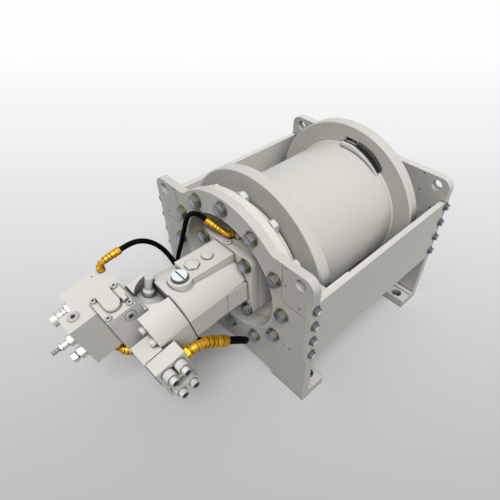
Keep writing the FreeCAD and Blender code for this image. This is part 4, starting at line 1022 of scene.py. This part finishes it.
@dataclass
class RearHub(Assembly):
    """Flanged journal at the far plate."""

    screw_circle: float = 0.117
    count: int = 8
    face: float = 0.300
    coats: Coats = ((TURNED_ENAMEL, ("rear_hub", "hub_cover")),)

    def build(self) -> None:
        """Turn the flange screws."""
        seats = circle_of(self.screw_circle, self.count, self.face)
        add_piece("hub_hex_screws", bolt_skin(Hexagon.M16).set_at(seats, TO_REAR), ZINC_PLATED,
                  "rear_screws")


@dataclass
class Brake(Assembly):
    """Multi-disc holding brake between the motor and the gearbox."""

    coats: Coats = (
        (MILLED_ENAMEL, ("brake_housing",)), (FRICTION_FACING, ("brake_rotor_discs",)),
        (OILED_SPRING, ("brake_stator_discs", "brake_springs")), (DUCTILE_IRON, ("brake_piston",)))


@dataclass
class Motor(Assembly):
    """Bent axis motor with its square flange, port plate and stops."""

    screw_half: float = 0.0795
    flange_face: float = -0.286
    top: float = 0.387
    flange_top: float = 0.392
    coats: Coats = ((CAST_ENAMEL, ("motor_housing", "port_plate", "stop_screw")),
                    (BRIGHT_STEEL, ("drain_plug",)))

    def build(self) -> None:
        """Turn the flange screws, the plugs on top and the two cap screws of the port plate."""
        half = self.screw_half
        seats = [(x, self.flange_face, DRUM_AXIS + z) for x in (-half, half) for z in (-half, half)]
        add_piece("motor_hex_screws", bolt_skin(Hexagon.M20).set_at(np.array(seats), TO_MOTOR), ZINC_PLATED,
                  "motor_screws")
        round_plug = revolve([(0, 0), (13, 0), (13, 4), (12, 5), (0, 5)])
        plugs = [round_plug.set_at(np.array([0.0, -0.340, self.top]), UP),
                 hexagon_head(32.0, 5.0).set_at(np.array([0.0, -0.385, self.top]), UP),
                 socket_head(9.0, 3.0, 7.0).set_at(np.array([0.0, -0.2745, self.flange_top]), UP)]
        add_piece("motor_turned_plugs", Skin.joined(plugs), CAST_ENAMEL, "motor_plugs")
        ring = knurled(radius=19.2, height=6.5, teeth=36)
        add_piece("drain_plug_knurl", ring.set_at(np.array([0.015, -0.430, self.top]), UP), OILED_SPRING)
        seats = np.array([LEAN.point(45.0, -82.0, 58.0), LEAN.point(72.0, -82.0, 38.0)])
        screws = socket_head(9.5, 12.0, 8.0).set_at(seats, LEAN.direction(TO_MOTOR))
        add_piece("port_plate_cap_screws", screws, MILLED_ENAMEL, "port_plate_screws")
        self.build_seal()

    def build_seal(self) -> None:
        """Carry a thin bead along the joint of motor and port plate: across the shoulder as the blend of
        its two ends and the corner outside them, then down the right side and under the plate."""
        shoulder = blended(*np.array([[34.0, 86.5], [75.0, 73.0], [88.0, 26.0]]), steps=25)
        outline = np.concatenate([shoulder, [[88.0, 0.0], [88.0, -45.0], [60.0, -45.0]]])
        path = np.array([LEAN.point(x, 0.0, z) for x, z in outline])
        add_piece("port_plate_seal_bead", bead(path, radius_mm=1.1, rings=120), FIBRE_SEAL)


@dataclass
class ValveGroup(Assembly):
    """Counterbalance valve block with its cap, plugs and cartridges."""

    cap_top: float = 108.0
    block_top: float = 100.0
    block_face: float = -205.0
    coats: Coats = ((MILLED_ENAMEL, ("valve_block", "valve_cap")),)

    def build(self) -> None:
        """Turn the cap's socket screws and the socket plugs of the block."""
        seats = np.array([LEAN.point(x, y, self.cap_top) for x in (-64.0, 4.0) for y in (-125.0, -71.0)])
        screws = socket_head(6.5, 5.0, 5.0).set_at(seats, LEAN.direction(UP))
        add_piece("valve_cap_socket_screws", screws, SOCKET_PAINTED, "cap_screws")
        places = (((-70.6, -176.5, self.block_top), UP, 12.0), ((13.0, -86.5, 85.0), TO_RIGHT, 12.0),
                  ((-77.0, self.block_face, 85.0), TO_MOTOR, 5.0))
        plugs = [socket_head(radius, 3.0, radius * 0.8).set_at(LEAN.point(*place), LEAN.direction(way))
                 for place, way, radius in places]
        add_piece("valve_socket_plugs", Skin.joined(plugs), SOCKET_PAINTED, "block_plugs")
        self.build_cartridges()

    def build_cartridges(self) -> None:
        """Turn the three cartridges that stand out of the block's front."""
        grooved = revolve([(0, 10), (12.2, 10), (13, 10.8), (13, 17), (12, 17.8), (12, 19), (13, 19.8),
                           (13, 31), (16, 32.5), (16, 45.8), (14.8, 47), (9, 47), (8, 45.5), (0, 45.5)])
        stem = revolve([(0, 14), (9, 14), (9, 27), (8, 28), (0, 28)])
        neck = revolve([(0, 18), (9, 18), (9, 21), (0, 21)])
        cartridges = (
            ("counterbalance_valve", "counterbalance_cartridge", (-122.0, -172.0, 77.0),
             [hexagon_head(30.0, 10.0), grooved]),
            ("relief_valve", "relief_cartridge", (-60.0, self.block_face, 59.0),
             [hexagon_head(26.0, 14.0), stem, hexagon_head(17.0, 6.0, 28.0),
              threaded(5.5, 34.0, 53.5, 1.5)]),
            ("shuttle_valve", "shuttle_cartridge", (-60.0, self.block_face, 6.0),
             [hexagon_head(27.0, 18.0), neck, hexagon_head(22.0, 13.0, 21.0)]))
        for name, node, place, skins in cartridges:
            skin = Skin.joined(skins).set_at(LEAN.point(*place), LEAN.direction(TO_MOTOR))
            add_piece(name, skin, PLATED_VALVE, node)


@dataclass
class WorkPort(Assembly):
    """Manifold, side block and four bolt flange of the work port, in the tilted frame's millimetres."""

    flange_face: float = 156.0
    flange_middle: Pair = (-91.0, -29.0)
    bolt_half: Pair = (15.9, 33.35)
    joint: float = 96.0
    block_top: float = 26.0
    block_front: float = -130.0
    coats: Coats = ((MILLED_ENAMEL, ("manifold", "port_block", "port_flange")),)

    def build(self) -> None:
        """Turn the four large socket screws and carry a bead along the joint of manifold and block."""
        (y, z), (dy, dz) = self.flange_middle, self.bolt_half
        seats = [LEAN.point(self.flange_face, y + j, z + k) for j in (-dy, dy) for k in (-dz, dz)]
        screw = socket_head(10.0, 14.0, 10.0, face=0.7)
        add_piece("port_flange_socket_screws", screw.set_at(np.array(seats), LEAN.direction(TO_RIGHT)),
                  SOCKET_STEEL, "port_flange_screws")
        corners = ((-53.0, self.block_top), (self.block_front, self.block_top), (self.block_front, -80.0))
        path = np.array([LEAN.point(self.joint, y, z) for y, z in corners])
        add_piece("port_block_seal_bead", bead(path, radius_mm=0.9, rings=60), FIBRE_SEAL)


@dataclass
class Hose:
    """Hydraulic hose along its route, held by a crimped fitting at each end."""

    name: str
    diameter: float
    length: float
    route: list[Triple]
    fittings: list[str]

    def build(self) -> None:
        """Lay the hose on a smooth curve through its route's control points."""
        curve = bpy.data.curves.new(self.name + "_line", "CURVE")
        curve.dimensions = "3D"
        curve.bevel_depth = self.diameter / 2.0
        curve.bevel_resolution = 8
        curve.resolution_u = 12
        curve.use_fill_caps = True
        spline = curve.splines.new("NURBS")
        spline.points.add(len(self.route) - 1)
        control = np.ones((len(self.route), 4))
        control[:, :3] = self.route
        spline.points.foreach_set("co", control.ravel())
        spline.order_u = 3
        spline.use_endpoint_u = True
        curve.materials.append(HOSE_RUBBER.material())
        piece = placed(self.name + "_cover", curve)
        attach(piece, Body.FRAME.value)
        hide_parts(self.name)
        log.info("hose %s: %.0f mm long", self.name, self.length / MM)


class Bore(Enum):
    """Sizes of fittings: radius of the bent pipe and of the crimped sleeve in metres."""

    BRAKE = (0.0075, 0.0090)
    DRAIN = (0.012, 0.0145)


# Share of the sleeve's length and of its radius, from the pipe to the hose: two ridges, then a long
# crimped barrel with one groove.
SLEEVE_STEPS = np.array([
    (0.00, 0.80), (0.06, 0.80), (0.06, 1.00), (0.20, 1.00), (0.20, 0.82), (0.25, 0.82),
    (0.25, 1.04), (0.38, 1.04), (0.38, 0.84), (0.43, 0.84), (0.43, 0.98), (0.47, 1.05),
    (0.66, 1.05), (0.66, 0.92), (0.69, 0.92), (0.69, 1.05), (0.94, 1.05), (1.00, 0.94)])
# Shares of the bent pipe's length: the middles of its two collars, half a collar, and where the pipe
# widens towards the sleeve; and in pipe radii, the size of a collar and of the plain pipe.
COLLARS, COLLAR_HALF, WIDE_FROM = (0.32, 0.62), 0.04, 0.9
COLLAR_SIZE, PLAIN_SIZE = 1.18, 0.92
# The swivel nut in pipe radii across its flats, and in flats its hexagon's and its round neck's height.
NUT_FLATS, NUT_HEXAGON, NUT_NECK = 2.5, 0.42, 0.58


@dataclass
class HoseFitting:
    """Swivel nut, bent pipe and crimped sleeve in line with the hose."""

    name: str
    node: str
    corners: list[np.ndarray]
    tip: np.ndarray
    inner: np.ndarray
    bore: Bore
    sleeve: float = 0.042
    past_tip: float = 0.0005
    bend: float = 1.6

    def build(self) -> None:
        """Turn the nut and carry a stepped circle from it to the hose's end."""
        pipe, barrel = self.bore.value
        away = (self.tip - self.inner) / np.linalg.norm(self.tip - self.inner)
        corners = np.array(self.corners + [self.tip + away * self.sleeve, self.tip + away * self.past_tip])
        path = bent_pipe(corners, pipe * self.bend)
        bent_share = 1.0 - self.sleeve / np.linalg.norm(np.diff(path, axis=0), axis=1).sum()
        sleeve = np.stack([bent_share + (1.0 - bent_share) * SLEEVE_STEPS[:, 0],
                           SLEEVE_STEPS[:, 1] * barrel], axis=-1)
        share = np.linspace(0.0, 1.0, 41)
        wide = (np.abs(share[:, None] - COLLARS) < COLLAR_HALF).any(axis=1) | (share > WIDE_FROM)
        neck = np.stack([share * bent_share, pipe * np.where(wide, COLLAR_SIZE, PLAIN_SIZE)], axis=-1)
        bent = carried(path, np.concatenate([neck, sleeve]))
        flats = pipe * NUT_FLATS / MM
        low, high = flats * NUT_HEXAGON, flats * NUT_NECK
        neck = revolve([(0, low), (low, low), (low, high), (0, high)])
        nut = Skin.joined([hexagon_head(flats, low), neck]).set_at(corners[0], corners[1] - corners[0])
        add_piece(self.name, Skin.joined([bent, nut]), YELLOW_ZINC, self.node)


@dataclass
class HoseSet(Assembly):
    """The brake release hose and the drain hose with their four fittings."""

    front: float = -0.284

    def brake_route(self) -> list[Triple]:
        """Give the control points of the brake release hose."""
        f = self.front
        return [(-0.131, f - 0.207, 0.417), (-0.129, f - 0.184, 0.422), (-0.127, f - 0.158, 0.418),
                (-0.124, f - 0.133, 0.402), (-0.119, f - 0.110, 0.372), (-0.111, f - 0.093, 0.328),
                (-0.099, f - 0.082, 0.272), (-0.089, f - 0.074, 0.216), (-0.119, f - 0.065, 0.184),
                (-0.162, f - 0.051, 0.184), (-0.192, f - 0.042, 0.216), (-0.182, f - 0.036, 0.261),
                (-0.167, f - 0.028, 0.306), (-0.152, f - 0.023, 0.352), (-0.142, f - 0.020, 0.382),
                (-0.133, f - 0.018, 0.406), (-0.120, f - 0.015, 0.425), (-0.103, f - 0.012, 0.437),
                (-0.084, f - 0.008, 0.439), (-0.066, f - 0.002, 0.431)]

    def drain_route(self) -> list[Triple]:
        """Give the control points of the drain hose."""
        f = self.front
        return [(0.134, f - 0.120, 0.239), (0.137, f - 0.097, 0.222), (0.136, f - 0.077, 0.202),
                (0.130, f - 0.060, 0.178), (0.118, f - 0.050, 0.158), (0.101, f - 0.050, 0.141),
                (0.085, f - 0.060, 0.135), (0.071, f - 0.078, 0.138), (0.058, f - 0.104, 0.150),
                (0.044, f - 0.135, 0.163), (0.027, f - 0.171, 0.174), (0.009, f - 0.207, 0.183),
                (-0.010, f - 0.240, 0.188), (-0.027, f - 0.267, 0.189)]

    def build(self) -> None:
        """Turn the four fittings and lay both hoses between them."""
        self.build_fittings()
        Hose("brake_hose", 0.013, 0.6888, self.brake_route(),
             ["brake_valve_fitting", "brake_port_fitting"]).build()
        Hose("drain_hose", 0.020, 0.3978, self.drain_route(),
             ["drain_block_fitting", "drain_valve_fitting"]).build()

    def build_fittings(self) -> None:
        """Turn the fittings at both ends of both hoses, each from its seat over the corners of its pipe."""
        brake, drain = np.array(self.brake_route()), np.array(self.drain_route())
        seat = np.array([-0.010, -0.25025, 0.4018])
        elbow = np.array([0.125, self.front - 0.201, 0.284])
        HoseFitting("brake_valve_fitting", "brake_hose_valve_fitting",
                    [LEAN.point(-140.6, -65.3, 100.0), LEAN.point(-140.6, -65.3, 114.0)],
                    brake[0], brake[1], Bore.BRAKE).build()
        HoseFitting("brake_port_fitting", "brake_hose_brake_fitting", [seat, seat + 14.0 * MM * TO_MOTOR],
                    brake[-1], brake[-2], Bore.BRAKE).build()
        HoseFitting("drain_block_fitting", "drain_hose_block_fitting",
                    [LEAN.point(120.0, -52.0, -9.0), LEAN.point(120.0, -38.0, -9.0), elbow],
                    drain[0], drain[1], Bore.DRAIN, sleeve=0.066).build()
        HoseFitting("drain_valve_fitting", "drain_hose_valve_fitting",
                    [LEAN.point(-64.0, -147.0, -37.0), LEAN.point(-64.0, -147.0, -69.0)],
                    drain[-1], drain[-2], Bore.DRAIN).build()


@dataclass
class Studio:
    """Pale floor, soft overhead light and the camera."""

    bearing: float = 46.164
    elevation: float = 44.624
    place: Triple = (0.6281, -0.7404, 1.0581)
    focal_px: float = 411.0
    picture_px: float = 500.0
    centre_px: Pair = (267.9, 270.7)
    sensor_mm: float = 36.0
    floor_reach: float = 40.0
    floor_fade: float = 5.0
    floor_tones: tuple[tuple[float, str], ...] = ((0.05, "#b9b9b9"), (0.24, "#dadada"), (0.42, "#ececec"),
                                                  (0.7, "#f8f8f8"))
    floor_bounce: tuple[float, float, float, float] = (0.07, 0.07, 0.065, 1.0)
    lamp_strength: float = 2.36
    lamp_width: float = 35.0
    lamp_tilt: Pair = (21.0, 28.0)
    sky_light: Pair = (0.02, 0.64)
    sky_shown: float = 0.97

    def build_camera(self) -> None:
        """Set the camera at the photograph's angle, with the shift that its framing needs."""
        lens = bpy.data.cameras.new("studio_camera")
        lens.sensor_width = self.sensor_mm
        lens.lens = self.focal_px / self.picture_px * self.sensor_mm
        lens.shift_x = -(self.centre_px[0] - self.picture_px / 2.0) / self.picture_px
        lens.shift_y = (self.centre_px[1] - self.picture_px / 2.0) / self.picture_px
        lens.clip_start = 0.01
        camera = placed("studio_camera", lens)
        camera.location = self.place
        camera.rotation_euler = (math.radians(90.0 - self.elevation), 0.0, math.radians(self.bearing))
        bpy.context.scene.camera = camera

    def floor_paper(self) -> Material:
        """Make the floor's paper, whose tone goes from grey near the camera to white far behind.

        Returns:
            The material.
        """
        paper = bpy.data.materials.new("seamless_paper_floor")
        tree = empty_tree(paper)
        spot = add_node(tree, "ShaderNodeTexCoord").outputs["Object"]
        turn = math.radians(self.bearing)
        ahead = (-math.sin(turn), math.cos(turn), 0.0)
        aim = add_node(tree, "ShaderNodeVectorMath", {"operation": "DOT_PRODUCT", 1: ahead}, {0: spot})
        start = ahead[0] * self.place[0] + ahead[1] * self.place[1]
        far = add_node(tree, "ShaderNodeMapRange", {"From Min": start, "From Max": start + self.floor_fade},
                       {"Value": aim.outputs["Value"]})
        ramp = add_node(tree, "ShaderNodeValToRGB", links={"Fac": far.outputs["Result"]})
        ends = ramp.color_ramp.elements
        for end, (position, code) in zip((ends[0], ends[1]), (self.floor_tones[0], self.floor_tones[-1])):
            end.position, end.color = position, linear(code)
        for position, code in self.floor_tones[1:-1]:
            ends.new(position).color = linear(code)
        tone = add_node(tree, "ShaderNodeMix", {"data_type": "RGBA", UNDER: self.floor_bounce},
                        {SHARE: background_rays(tree), OVER: ramp.outputs["Color"]})
        shader = add_node(tree, "ShaderNodeBsdfPrincipled", {"Roughness": 0.9, "Specular IOR Level": 0.1},
                          {"Base Color": tone.outputs[MIXED]})
        add_node(tree, "ShaderNodeOutputMaterial", links={"Surface": shader.outputs["BSDF"]})
        return paper

    def build_floor(self) -> None:
        """Lay the floor."""
        reach = self.floor_reach
        mesh = bpy.data.meshes.new("floor")
        corners = [(-reach, -reach, 0.0), (reach, -reach, 0.0), (reach, reach, 0.0), (-reach, reach, 0.0)]
        mesh.from_pydata(corners, [], [(0, 1, 2, 3)])
        mesh.materials.append(self.floor_paper())
        placed("floor", mesh)

    def build_light(self) -> None:
        """Hang one wide soft lamp overhead in a sky that is dim at the horizon and bright above."""
        lamp = bpy.data.lights.new("overhead_softbox", "SUN")
        lamp.energy = self.lamp_strength
        lamp.angle = math.radians(self.lamp_width)
        holder = placed("overhead_softbox", lamp)
        holder.rotation_euler = (math.radians(self.lamp_tilt[0]), math.radians(self.lamp_tilt[1]), 0.0)
        world = bpy.data.worlds.new("studio_sky")
        tree = empty_tree(world)
        way = add_node(tree, "ShaderNodeTexCoord").outputs["Generated"]
        parts = add_node(tree, "ShaderNodeSeparateXYZ", links={0: way})
        dim, bright = self.sky_light
        glow = add_node(tree, "ShaderNodeMapRange", {"To Min": dim, "To Max": bright},
                        {"Value": parts.outputs["Z"]})
        level = add_node(tree, "ShaderNodeMix", {"data_type": "FLOAT", HIGH: self.sky_shown},
                         {SHARE: background_rays(tree), LOW: glow.outputs["Result"]})
        sky = add_node(tree, "ShaderNodeBackground", {"Color": (1.0, 1.0, 1.0, 1.0)},
                       {"Strength": level.outputs[LEVEL]})
        add_node(tree, "ShaderNodeOutputWorld", links={"Surface": sky.outputs[0]})
        bpy.context.scene.world = world
        bpy.context.scene.view_settings.view_transform = "Standard"

    def build(self) -> None:
        """Set up camera, floor and light."""
        self.build_camera()
        self.build_floor()
        self.build_light()


def main() -> None:
    """Build the studio and every sub-assembly in order."""
    logging.basicConfig(level=logging.INFO, format="%(message)s")
    Studio().build()
    assemblies = [HoseSet(), EndFrame(), Gearbox(), RopeDrum(), RearHub(), Brake(), Motor(), ValveGroup(),
                  WorkPort()]
    for part in assemblies:
        part.build()
        part.dress()


if __name__ == "__main__":
    main()
